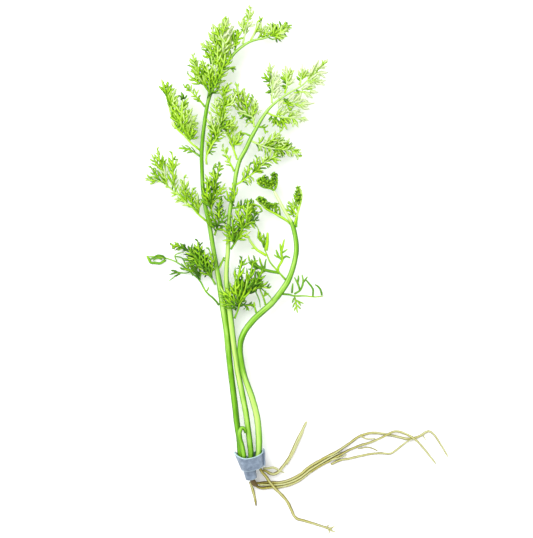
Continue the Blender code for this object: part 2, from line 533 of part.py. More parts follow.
class Fork:
    """One point of a forking rib: its place, half width and neighbours."""

    def __init__(self, point, usual):
        self.place = Vector(point[:2])
        self.height = point[2]
        self.half = point[3] if len(point) > 3 else usual
        self.links = []


def grow(forks, start, points, usual):
    """Add points after a fork, one after the other, and give back the new ones."""
    grown = []
    before = start
    for point in points:
        fork = Fork(point, usual)
        if before is not None:
            before.links.append(fork)
            fork.links.append(before)
        grown.append(fork)
        before = fork
    forks.extend(grown)
    return grown


def gap_to_stretch(place, start, end):
    """How far a place is from the stretch between two others."""
    along = end - start
    share = (place - start).dot(along) / along.length_squared
    return (place - start - along * min(max(share, 0), 1)).length


def is_clear(forks, tip, own):
    """Whether a new lobe's tip keeps clear of every stretch that isn't its own."""
    for fork in forks:
        for link in fork.links:
            if {fork, link} == own:
                continue
            if gap_to_stretch(tip, fork.place, link.place) < LOBE_CLEARANCE:
                return False
    return True


def is_open(root):
    """Whether the edge of a blade keeps clear of itself all the way round."""
    places = [place for place, _ in outline(root)]
    count = len(places)
    for first in range(count):
        for start in range(count):
            end = (start + 1) % count
            if first in (start, end):
                continue
            if gap_to_stretch(places[first], places[start], places[end]) < EDGE_GAP:
                return False
    return True


def turned(along, turn):
    """A direction turned to the left by an angle."""
    return Vector((along.x * math.cos(turn) - along.y * math.sin(turn),
                   along.x * math.sin(turn) + along.y * math.cos(turn)))


def fork_tip(forks, tip, hand):
    """Fork a long last stretch once more, to the left (1) or the right (-1)."""
    before = tip.links[0]
    stretch = tip.place - before.place
    if stretch.length < FORK_STRETCH:
        return
    place = before.place + stretch * FORK_PLACE
    aim = turned(stretch.normalized(), SIDE_LOBE_TURN * hand)
    end = place + aim * stretch.length * SIDE_LOBE_SHARE
    if not is_clear(forks, end, {before, tip}):
        return
    height = before.height + (tip.height - before.height) * FORK_PLACE
    middle = Fork((place.x, place.y, height), LOBE_HALF_WIDTH)
    spot = before.links.index(tip)
    before.links[spot] = middle
    tip.links = [middle]
    middle.links = [before, tip]
    grown = grow(forks, middle, ((end.x, end.y, height),), LOBE_HALF_WIDTH)
    if is_open(forks[0]):
        forks.append(middle)
    else:
        forks.remove(grown[0])
        before.links[spot] = tip
        tip.links = [before]


def feather(forks, rib, tips):
    """Add the small lobes that every blade has, where there is room for them."""
    hand = 1
    for fork, after in zip(rib[1:], rib[2:]):
        if len(fork.links) == 2:
            aim = turned((after.place - fork.place).normalized(), RIB_LOBE_TURN * hand)
            end = fork.place + aim * RIB_LOBE_LENGTH
            if is_clear(forks, end, set()):
                grown = grow(forks, fork, ((end.x, end.y, fork.height),), LOBE_HALF_WIDTH)
                if not is_open(forks[0]):
                    forks.remove(grown[0])
                    fork.links.pop()
        hand = -hand
    for tip in tips:
        fork_tip(forks, tip, hand)
        hand = -hand


def clockwise(turn_from, turn_to):
    """The clockwise angle between two directions, over 0 and up to a full turn."""
    angle = math.atan2(turn_from.y, turn_from.x) - math.atan2(turn_to.y, turn_to.x)
    angle %= math.tau
    return angle if angle > 1e-6 else math.tau


def outline(root):
    """The edge of a forking blade, walked once round from the foot."""
    first = root.links[0]
    along = (first.place - root.place).normalized()
    side = Vector((-along.y, along.x)) * root.half
    edge = [(root.place + side, root.height)]
    before, here = root, first
    while here is not root:
        back = (before.place - here.place).normalized()
        if len(here.links) == 1:
            edge.append((here.place, here.height))
            before, here = here, before
            continue
        others = [link for link in here.links if link is not before]
        turns = [clockwise(back, (link.place - here.place).normalized()) for link in others]
        turn = min(turns)
        half_turn = -turn / 2
        corner = Vector((back.x * math.cos(half_turn) - back.y * math.sin(half_turn),
                         back.x * math.sin(half_turn) + back.y * math.cos(half_turn)))
        reach = here.half * min(1 / max(math.sin(turn / 2), 1e-6), CORNER_LIMIT)
        edge.append((here.place + corner * reach, here.height))
        before, here = here, others[turns.index(turn)]
    edge.append((root.place - side, root.height))
    edge.reverse()
    return edge


def skeleton(shape):
    """The forking rib and lobes of a blade, given back by its foot."""
    forks = []
    rib = grow(forks, None, shape["rib"], RIB_HALF_WIDTH)
    tips = [rib[-1]]
    for lobe in shape["lobes"]:
        grown = grow(forks, rib[lobe[0]], lobe[1], LOBE_HALF_WIDTH)
        tips.append(grown[-1])
        for smaller in lobe[2] if len(lobe) > 2 else ():
            tips.append(grow(forks, grown[smaller[0]], smaller[1], LOBE_HALF_WIDTH)[-1])
    feather(forks, rib, tips)
    return rib[0]


def blade(name, shape, finish, into):
    """A pinna: a thin plate whose edge follows its rib and lobes.

    It is drawn out straight down, so that its two faces never meet where it is steep.
    """
    edge = outline(skeleton(shape))
    thickness = shape.get("thickness", BLADE_THICKNESS)
    bm = bmesh.new()
    corners = [bm.verts.new(at(place.x, place.y, 0)) for place, _ in edge]
    face = bm.faces.new(corners)
    face.normal_update()
    bmesh.ops.triangulate(bm, faces=[face], ngon_method="EAR_CLIP")
    for corner, (_, height) in zip(corners, edge):
        corner.co.z = (height + thickness / 2) * MM
    drawn = bmesh.ops.extrude_face_region(bm, geom=bm.faces[:])
    lower = [item for item in drawn["geom"] if isinstance(item, bmesh.types.BMVert)]
    bmesh.ops.translate(bm, verts=lower, vec=(0, 0, -thickness * MM))
    bmesh.ops.recalc_face_normals(bm, faces=bm.faces)
    return mesh_object(name, bm, finish, into)


def strip_key(angle):
    """Radius, flare, shift and low edge of the strip at an angle, in degrees."""
    for before, after in zip(STRIP_KEYS, STRIP_KEYS[1:]):
        if angle <= after[0]:
            share = (angle - before[0]) / (after[0] - before[0])
            return [a + (b - a) * share for a, b in zip(before[1:], after[1:])]
    return list(STRIP_KEYS[-1][1:])


def strip_point(angle, high):
    """A point on the strip's mid surface, at its low (0) or high (1) edge."""
    radius, flare, shift, low = strip_key(math.degrees(angle))
    heading = Vector((-math.sin(BAND_LEAN), math.cos(BAND_LEAN), 0))
    axis = heading * math.cos(BAND_TILT) + Vector((0, 0, math.sin(BAND_TILT)))
    across = Vector((math.cos(BAND_LEAN), math.sin(BAND_LEAN), 0))
    upward = across.cross(axis)
    reach = radius + flare * high
    out = across * (math.cos(angle) * reach + shift) + upward * (math.sin(angle) * reach)
    place = Vector(BAND_FOOT) + axis * (low + STRIP_WIDTH * high) + out
    return at(*place)


def band(finish, into, cutters):
    """The wound strip, pressed flat where it rests."""
    start, end = (math.radians(STRIP_KEYS[i][0]) for i in (0, -1))
    steps = round((end - start) / STRIP_STEP)
    bm = bmesh.new()
    rows = []
    for step in range(steps + 1):
        angle = start + (end - start) * step / steps
        rows.append([bm.verts.new(strip_point(angle, high)) for high in (0, 1)])
    for (low, high), (next_low, next_high) in zip(rows, rows[1:]):
        bm.faces.new((low, next_low, next_high, high))
    obj = mesh_object("band", bm, finish, into)
    wall = obj.modifiers.new("Thickness", "SOLIDIFY")
    wall.thickness = STRIP_THICKNESS * MM
    wall.offset = 0
    size = TRIM_SIZE * MM
    bpy.ops.mesh.primitive_cube_add(size=size, location=(0, 0, -size / 2))
    cutter = bpy.context.object
    cutter.name = "cutter_surface"
    cutter.users_collection[0].objects.unlink(cutter)
    cutters.objects.link(cutter)
    cutter.hide_render = True
    cutter.display_type = "WIRE"
    trim = obj.modifiers.new("Pressed flat", "BOOLEAN")
    trim.operation = "DIFFERENCE"
    trim.object = cutter
    return obj


def crown(finish, into):
    """The rootstock, lofted through its oval sections."""
    bm = bmesh.new()
    rings = []
    for x, y, z, half_width, half_height in CROWN:
        ring = []
        for side in range(CROWN_SIDES):
            turn = math.tau * side / CROWN_SIDES
            offset_x = half_width * math.cos(turn)
            offset_z = half_height * math.sin(turn)
            ring.append(bm.verts.new(at(x + offset_x, y, z + offset_z)))
        rings.append(ring)
    for ring, following in zip(rings, rings[1:]):
        for side in range(CROWN_SIDES):
            after = (side + 1) % CROWN_SIDES
            bm.faces.new((ring[side], ring[after], following[after], following[side]))
    bm.faces.new(rings[0])
    bm.faces.new(list(reversed(rings[-1])))
    bmesh.ops.recalc_face_normals(bm, faces=bm.faces)
    obj = mesh_object("crown", bm, finish, into)
    obj.data.shade_smooth()
    return obj


def main():
    """Build the whole bunch."""
    clear_scene()
    parts = collection("water_sprite")
    cutters = collection("cutters")
    stalk_green = material("stalk_green", STALK_GREEN, 0.4)
    leaf_green = material("leaf_green", LEAF_GREEN, 0.5)
    root_tan = material("root_tan", ROOT_TAN, 0.6)
    crown_brown = material("crown_brown", CROWN_BROWN, 0.7)
    strip_grey = material("strip_grey", STRIP_GREY, 0.45, 0.6)
    band(strip_grey, parts, cutters)
    crown(crown_brown, parts)
    round_tube("stalk_a", STALK_A, STALK_SIDES, stalk_green, parts)
    round_tube("stalk_b", STALK_B, STALK_SIDES, stalk_green, parts)
    round_tube("stalk_c", STALK_C, STALK_SIDES, stalk_green, parts)
    round_tube("stalk_hook", STALK_HOOK, STALK_SIDES, stalk_green, parts)
    for name, points in ROOTS.items():
        round_tube(name, points, ROOT_SIDES, root_tan, parts)
    for letter, group in (("a", PINNAE_A), ("b", PINNAE_B), ("c", PINNAE_C)):
        for number, shape in enumerate(group, 1):
            blade(f"pinna_{letter}_{number}", shape, leaf_green, parts)


main()
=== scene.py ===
"""Bunch of water sprite: the finish of every piece.

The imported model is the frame. Each piece below takes the place of one of its nodes
and rides on its one body. Points are in the plan's millimetres, as in the model's
own source: x to the right, y towards the tips of the fronds, z up from the surface.
"""

import math
import random

import bmesh
import bpy
import numpy as np
from bpy.props import (
    FloatProperty,
    FloatVectorProperty,
    IntProperty,
    PointerProperty,
)
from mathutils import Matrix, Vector, noise
from mathutils.geometry import convex_hull_2d


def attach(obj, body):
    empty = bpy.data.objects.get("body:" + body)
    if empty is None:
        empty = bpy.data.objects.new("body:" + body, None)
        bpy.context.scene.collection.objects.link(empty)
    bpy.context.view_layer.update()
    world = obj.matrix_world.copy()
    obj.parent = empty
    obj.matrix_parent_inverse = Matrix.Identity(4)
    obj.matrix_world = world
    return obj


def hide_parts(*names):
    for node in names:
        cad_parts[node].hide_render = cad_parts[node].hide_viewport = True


bl_info = {
    "name": "Water Sprite Bunch",
    "version": (1, 0, 0),
    "blender": (4, 5, 0),
    "location": "3D View > Sidebar > Water Sprite",
    "description": "Fronds, stalks, roots, wound strip and stage of a bunch of water sprite",
    "category": "Object",
}

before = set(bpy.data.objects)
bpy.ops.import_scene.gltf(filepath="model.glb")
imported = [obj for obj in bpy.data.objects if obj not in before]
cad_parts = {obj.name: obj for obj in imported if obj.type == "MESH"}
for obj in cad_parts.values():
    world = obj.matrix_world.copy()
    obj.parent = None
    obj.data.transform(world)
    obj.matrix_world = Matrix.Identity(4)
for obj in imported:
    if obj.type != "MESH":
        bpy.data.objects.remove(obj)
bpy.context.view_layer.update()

MM = 0.001
BODY = "root"

# Where the strip rests, in the plan: this spot is the frame's origin.
REST_X = 0.9
REST_Y = 2.2

# The photograph's frame in the plan, straight from above.
PHOTO_MIDDLE = (8.25, 98.5)
PHOTO_HEIGHT = 269.0
SUBJECT_HEIGHT = 8.0

# No leaf, stalk or root goes lower than this above the surface, and what reaches above
# HIGH is pressed down towards it, so that the tips stay within the solids' height.
LOWEST = 0.12
HIGH = 15.0
HIGH_PRESS = 0.5

UP = Vector((0, 0, 1))
GOLDEN_ANGLE = math.pi * (3 - math.sqrt(5))

# Points nearer than this, in metres, are one point.
SAME_PLACE = 1e-6

# How the strip is wound. Each key is: angle in degrees, radius at the low edge, flare
# at the high edge, sideways shift and place of the low edge along the axis.
BAND_FOOT = (1.5, -0.5, 5.75)
BAND_TILT = math.radians(17)
BAND_LEAN = math.radians(12.5)
WIDE_TURN = 330
STRIP_KEYS = (
    (-125, 2.30, 0.30, -1.95, -5.8),
    (200, 2.70, 0.30, -1.95, -5.8),
    (WIDE_TURN, 5.25, 1.30, 0.0, 0.0),
    (745, 6.17, 1.30, 0.0, 0.0),
)

# The strip's dents: their depth, how close they are round it and across it, and where
# their pattern starts. Its mouth dips from DIP_FROM down its side, and it stays just
# clear of the surface.
DENT_DEPTH = 0.09
DENT_PACE = (1.7, 2.2)
DENT_START = 4.1
DIP_FROM = 0.2
STRIP_LOWEST = 0.02

# The proportions of a sprig. Its stem's foot is narrower than a segment, the first step
# widens it and each later step narrows it. A finger turns off the stem at a neck, swells
# and is drawn out to a tip.
STEM_FOOT = 0.8
STEM_SWELL = 1.25
STEM_TAPER = 0.97
NECK_STEP = 0.5
NECK_WIDTH = 0.66
FINGER_STEP = 1.15
FINGER_SWELL = 1.05

# A sprig is chosen this much longer than its place: more makes the forks finer. Its width
# follows its length within limits, and it is rolled and cupped a little by chance.
FINENESS = 1.1
NEAREST_CHOSEN = 0.62
WIDTH_LIMITS = (0.85, 1.15)
SPRIG_ROLL = 0.7
SPRIG_CUP = (-0.2, 0.4)
# Tones along a sprig: painted shade darkens its foot, and its tip is paler.
SPRIG_FOOT_SHADE_TONES = ((0, -0.26), (0.4, 0), (1, 0.2))

# A tube's tip is drawn in at this rate, to this share of its section. The pace of its
# lumps and of its grain is for each millimetre along it, and the grain of each starts
# somewhere in a stretch of its own.
TIP_RATE = 1.4
TIP_SHARE = 0.12
LUMP_PACE = 0.35
GRAIN_PACE = 0.1
GRAIN_STRETCH = 9

# A blade's rib: how deep it is set in the stalk, its radius there and at the stalk's
# surface, and how much of that it loses to its tip. A strand narrows to a share of its
# own radius. Sprigs set out one by one are steady: they hardly sway.
RIB_SINK = 1.1
RIB_ROOT = 0.62
RIB_FOOT = 0.56
RIB_TAPER = 0.3
STRAND_TIP = 0.6
STEADY = 0.03

# Fingers: how far they rise from the rib, in whose steps their height is looked up, and
# where two smaller twins go: degrees aside, share of the length, and drop.
FINGER_RISE = (-0.2, 0.9)
FINGER_WIDTH = 1.25
RIB_STEPS = 20
TWIN_ANGLES = (10, 24)
TWIN_SIZES = (0.6, 0.8)
TWIN_DROP = 0.6
TWIN_WIDTH = 1.1

# The small sprigs that fill a blade: the stretch of the line that bears them, their
# degrees off it, their lengths and how these shrink towards its tip, their rise, stray,
# bow and sway, and the gaps between them as shares of the spacing. One that passes the
# blade's outline is shortened bit by bit, down to about SHORTEST.
FILL_STRETCH = (0.1, 0.97)
FILL_ANGLES = (25, 42)
FILL_LENGTHS = (3.2, 5.4)
FILL_SHRINK = (1.1, 0.4)
FILL_RISE = (-0.2, 0.35)
FILL_STRAY = 0.15
FILL_BOW = 0.5
FILL_TONES = (-0.2, 0.16)
FILL_GAPS = (0.75, 1.25)
FILL_SWAY = 0.04
SHORTEST = 2
SHORTEN = 0.88

# A lobe guides the sprigs within this many millimetres of it, at most this much, to
# this share of its own length. A longer lobe than this bears small sprigs of its own.
GUIDE_REACH = 9
GUIDE_HOLD = 0.8
GUIDE_SHARES = (0.55, 0.95)
LOBE_BEARS = 6.5

# Each further layer of small sprigs is lower than the one above it, and darker with painted shade.
LAYER_SHADE = 0.2
LAYER_DROP = 0.5

# How a finger of a curled head bends: outwards and aside, as shares of its knot's radius.
CURL = ((0.25, 0), (0.8, 0), (1, 0.35), (0.85, 0.7), (0.6, 0.6))
# The crown's cross sections: centre and half width.
CROWN = (
    (-0.1, 1.9, 7.4, 3.3),
    (-0.5, 1.2, 6.9, 2.3),
    (-0.7, 0.3, 6.3, 1.5),
    (0, -2.9, 5.2, 1.35),
    (0.8, -6.6, 4, 1.3),
    (1.6, -8.4, 3.4, 1.6),
    (2.6, -9.6, 2.9, 1.4),
    (3.8, -10, 2.6, 0.9),
)

# Stalks: x, y, z and radius.
STALK_A = (
    (-3.6, 2.6, 7.4, 1.25), (-4.75, 5.5, 8.1, 1.45), (-5.25, 13, 8, 1.5),
    (-6, 18, 7.8, 1.5), (-6.75, 23, 7.4, 1.5), (-7.25, 28, 7.1, 1.5),
    (-8.5, 38, 6.7, 1.5), (-9.75, 48, 6.3, 1.5), (-10.85, 58, 6, 1.5),
    (-11.75, 68, 5.7, 1.55), (-13.25, 78, 5.5, 1.6), (-14.75, 88, 5.5, 1.5),
    (-16.5, 98, 5.6, 1.2), (-18.25, 108, 5.8, 1.1), (-19.5, 115.5, 6, 1.1),
    (-20.75, 123, 6.3, 1.05), (-22, 128, 6.5, 1.05), (-23.5, 138, 7, 1),
    (-24, 148, 7.5, 0.95), (-24.2, 155.5, 8, 0.95), (-23.75, 163, 8.5, 0.95),
    (-22.5, 173, 9, 0.95), (-21, 182, 9.5, 0.9), (-18.5, 189, 9.8, 0.85),
    (-16, 194, 10, 0.8), (-13.5, 198.5, 10.2, 0.75), (-11, 202, 10.4, 0.75),
    (-8, 206, 10.4, 0.7), (-5, 208.75, 10.4, 0.65), (-1, 211.5, 10.2, 0.6),
    (3, 213, 10, 0.55), (7, 213.75, 9.6, 0.5), (10.5, 214.8, 9.3, 0.45),
)
STALK_B = (
    (-0.3, 2.6, 8.3, 1.2), (0.5, 5.5, 9, 1.4), (-0.25, 13, 8.9, 1.45),
    (-0.85, 18, 8.8, 1.4), (-1.5, 23, 8.6, 1.4), (-2.25, 28, 8.5, 1.4),
    (-3.25, 33, 8.3, 1.4), (-4.25, 38, 8.1, 1.4), (-5.25, 43, 7.9, 1.4),
    (-6.25, 48, 7.7, 1.4), (-6.85, 53, 7.5, 1.4), (-7.75, 58, 7.4, 1.4),
    (-9, 68, 7.4, 1.4), (-10.25, 79, 7.5, 1.4), (-11, 85.5, 7.7, 1.3),
    (-11.75, 93, 8, 1.2), (-11.6, 100.5, 8.3, 1.1), (-11, 108, 8.6, 1.05),
    (-10.5, 123, 9, 1), (-9.75, 129, 9.1, 1), (-8.75, 134.5, 9.2, 1),
    (-7.75, 140.5, 9.3, 1), (-6.75, 147, 9.4, 1), (-5, 153, 9.5, 1),
    (-2.25, 158, 9.5, 1), (0, 163, 9.5, 1), (2.75, 168, 9.5, 0.9),
    (5.5, 173, 9.5, 0.85), (9, 178, 9.4, 0.72), (12.5, 181.5, 9.3, 0.58),
    (16.5, 184.5, 9.2, 0.48), (20.5, 187, 9.1, 0.42), (25, 189.5, 9, 0.36),
    (29, 193, 8.8, 0.32), (33, 197, 8.6, 0.28), (36.5, 200.5, 8.3, 0.24),
    (39, 203.5, 8, 0.18),
)
STALK_C = (
    (2.5, 2.8, 7.9, 1.2), (4.2, 5.5, 8.4, 1.4), (4.5, 13, 8.4, 1.6),
    (4.25, 18, 8.4, 1.55), (3.75, 23, 8.5, 1.55), (2.75, 28, 8.6, 1.5),
    (1.4, 33, 8.8, 1.5), (-0.25, 38, 9.1, 1.45), (-2.1, 43, 9.5, 1.4),
    (-3.5, 48, 9.9, 1.4), (-4.35, 53, 10.1, 1.35), (-4.9, 58, 10.1, 1.35),
    (-4.4, 63, 9.9, 1.45), (-2.25, 68, 9.3, 1.55), (1.75, 73, 8.7, 1.55),
    (6, 77, 8.2, 1.5), (10, 80.5, 7.8, 1.5), (13.5, 84.5, 7.5, 1.5),
    (16.5, 88.5, 7.3, 1.45), (19, 92.5, 7.1, 1.4), (21, 97.5, 7, 1.3),
    (22.5, 103, 7, 1.25), (23.25, 108, 7, 1.25), (23, 113, 7.2, 1.2),
    (22, 118, 7.4, 1.15), (20.9, 121.4, 7.8, 1.1), (19.6, 123.8, 8.3, 0.8),
)
STALK_HOOK = (
    (-2.7, 3.9, 10.7, 0.9), (-3, 5.5, 11.6, 1.2), (-3.5, 8, 11.8, 1.2),
    (-4, 10.5, 11.7, 1.2), (-5, 14, 11.5, 1.15), (-5.25, 16.5, 11.4, 1.1),
    (-4.5, 18.75, 11.3, 1), (-3.5, 19.25, 11.2, 0.85), (-2.6, 18, 11.1, 0.7),
    (-2.4, 16.5, 11, 0.45),
)

# Roots: x, y, z and radius.
ROOTS = {
    "root_upper": (
        (6.2, -2.4, 3.6, 0.6), (8.2, -3, 3.2, 0.75), (10, -4, 2.7, 0.85),
        (12.2, -4.4, 2.3, 0.9), (14.6, -3.1, 1.9, 0.9), (16.2, -1, 1.5, 0.85),
        (18.8, 2.4, 1.2, 0.85),
        (21, 6.5, 1, 0.9), (24, 13, 0.85, 0.85), (26.5, 18, 0.75, 0.75),
        (28.5, 22, 0.6, 0.55),
    ),
    "root_lower": (
        (4.6, -0.3, 6.6, 0.7), (5.4, -2, 7, 0.85), (6.2, -3.4, 5.6, 0.9),
        (8, -5.5, 4.2, 0.9), (10, -8.5, 3.4, 0.9), (12.5, -11.5, 3.3, 0.9),
        (15.5, -14.5, 2.4, 0.85), (18.5, -18, 1.3, 0.85), (20.5, -22, 0.9, 0.8),
        (23, -26.5, 0.8, 0.8), (27.5, -28, 0.75, 0.75), (34, -30, 0.7, 0.65),
        (41, -32.3, 0.6, 0.6),
    ),
    "root_stub": (
        (0.1, -8.4, 3, 0.7), (0.7, -10.4, 2.3, 0.75), (1.5, -13, 1.4, 0.8), (2.5, -17, 0.8, 0.7),
        (3, -20.5, 0.5, 0.4),
    ),
    "root_strand_a": (
        (2.6, -8.8, 2.9, 0.7), (4.2, -8.9, 2.6, 0.8), (6.4, -8.8, 1.9, 0.85),
        (10, -8.7, 1.1, 0.9),
        (15, -8.8, 0.9, 0.9), (20, -7.4, 0.9, 0.9), (25, -4.8, 0.9, 0.9),
        (30, -0.8, 0.9, 0.9), (35, 2.2, 0.9, 0.9), (40, 4.9, 0.9, 0.85),
        (45, 7.6, 0.85, 0.8), (50, 11, 0.8, 0.75), (55, 14.5, 0.75, 0.7),
        (60, 16, 0.7, 0.7), (65, 16, 0.7, 0.7), (70, 15.1, 0.7, 0.7),
        (75, 14, 0.7, 0.7), (80, 13.1, 0.7, 0.7), (85, 14.5, 0.7, 0.65),
        (88, 16.4, 0.65, 0.65), (90, 17, 0.65, 0.6), (92.5, 15.2, 0.6, 0.55),
        (95, 11.5, 0.55, 0.5), (97.5, 7.5, 0.5, 0.5), (99.5, 4, 0.4, 0.35),
    ),
    "root_strand_b": (
        (2.4, -9.8, 2.7, 0.7), (4.2, -11, 2, 0.8), (6.4, -11.5, 1.4, 0.9),
        (10, -11.1, 0.95, 0.9),
        (15, -10.9, 0.9, 0.9), (20, -9.8, 0.9, 0.9), (25, -7.4, 0.9, 0.9),
        (30, -3.6, 0.9, 0.85), (35, -0.4, 0.9, 0.85), (40, 2.3, 0.85, 0.8),
        (45, 5, 0.8, 0.75), (50, 7.7, 0.75, 0.7), (55, 9.8, 0.7, 0.7),
        (60, 11.3, 0.9, 0.65), (65, 13.4, 1.9, 0.65), (68, 14.9, 2.5, 0.65),
        (71, 16.5, 2.3, 0.65), (74, 17, 1.5, 0.65), (78, 15.8, 2.1, 0.65),
        (81, 14.2, 2.5, 0.65), (84, 12, 2, 0.6), (88.5, 6.8, 0.6, 0.55),
        (91, 3.6, 0.5, 0.5), (93.5, 0.5, 0.4, 0.35),
    ),
    "root_strand_c": (
        (40.6, 0.3, 0.7, 0.6), (45, 2.4, 0.7, 0.7), (50, 3.3, 0.65, 0.65),
        (55, 4.5, 0.65, 0.65), (60, 5.5, 0.6, 0.6), (65, 6, 0.6, 0.6),
        (70, 5.7, 0.6, 0.55), (73, 7.2, 0.55, 0.55), (75.5, 9.2, 0.5, 0.5),
        (78, 11.2, 0.7, 0.45), (80, 12.5, 1.4, 0.42), (82, 13.3, 2, 0.38),
    ),
    "root_thread": (
        (54.2, 8.2, 0.4, 0.35), (58.5, 8.9, 0.35, 0.35), (61.5, 8.4, 0.35, 0.35),
        (64, 7.2, 0.3, 0.3),
    ),
}

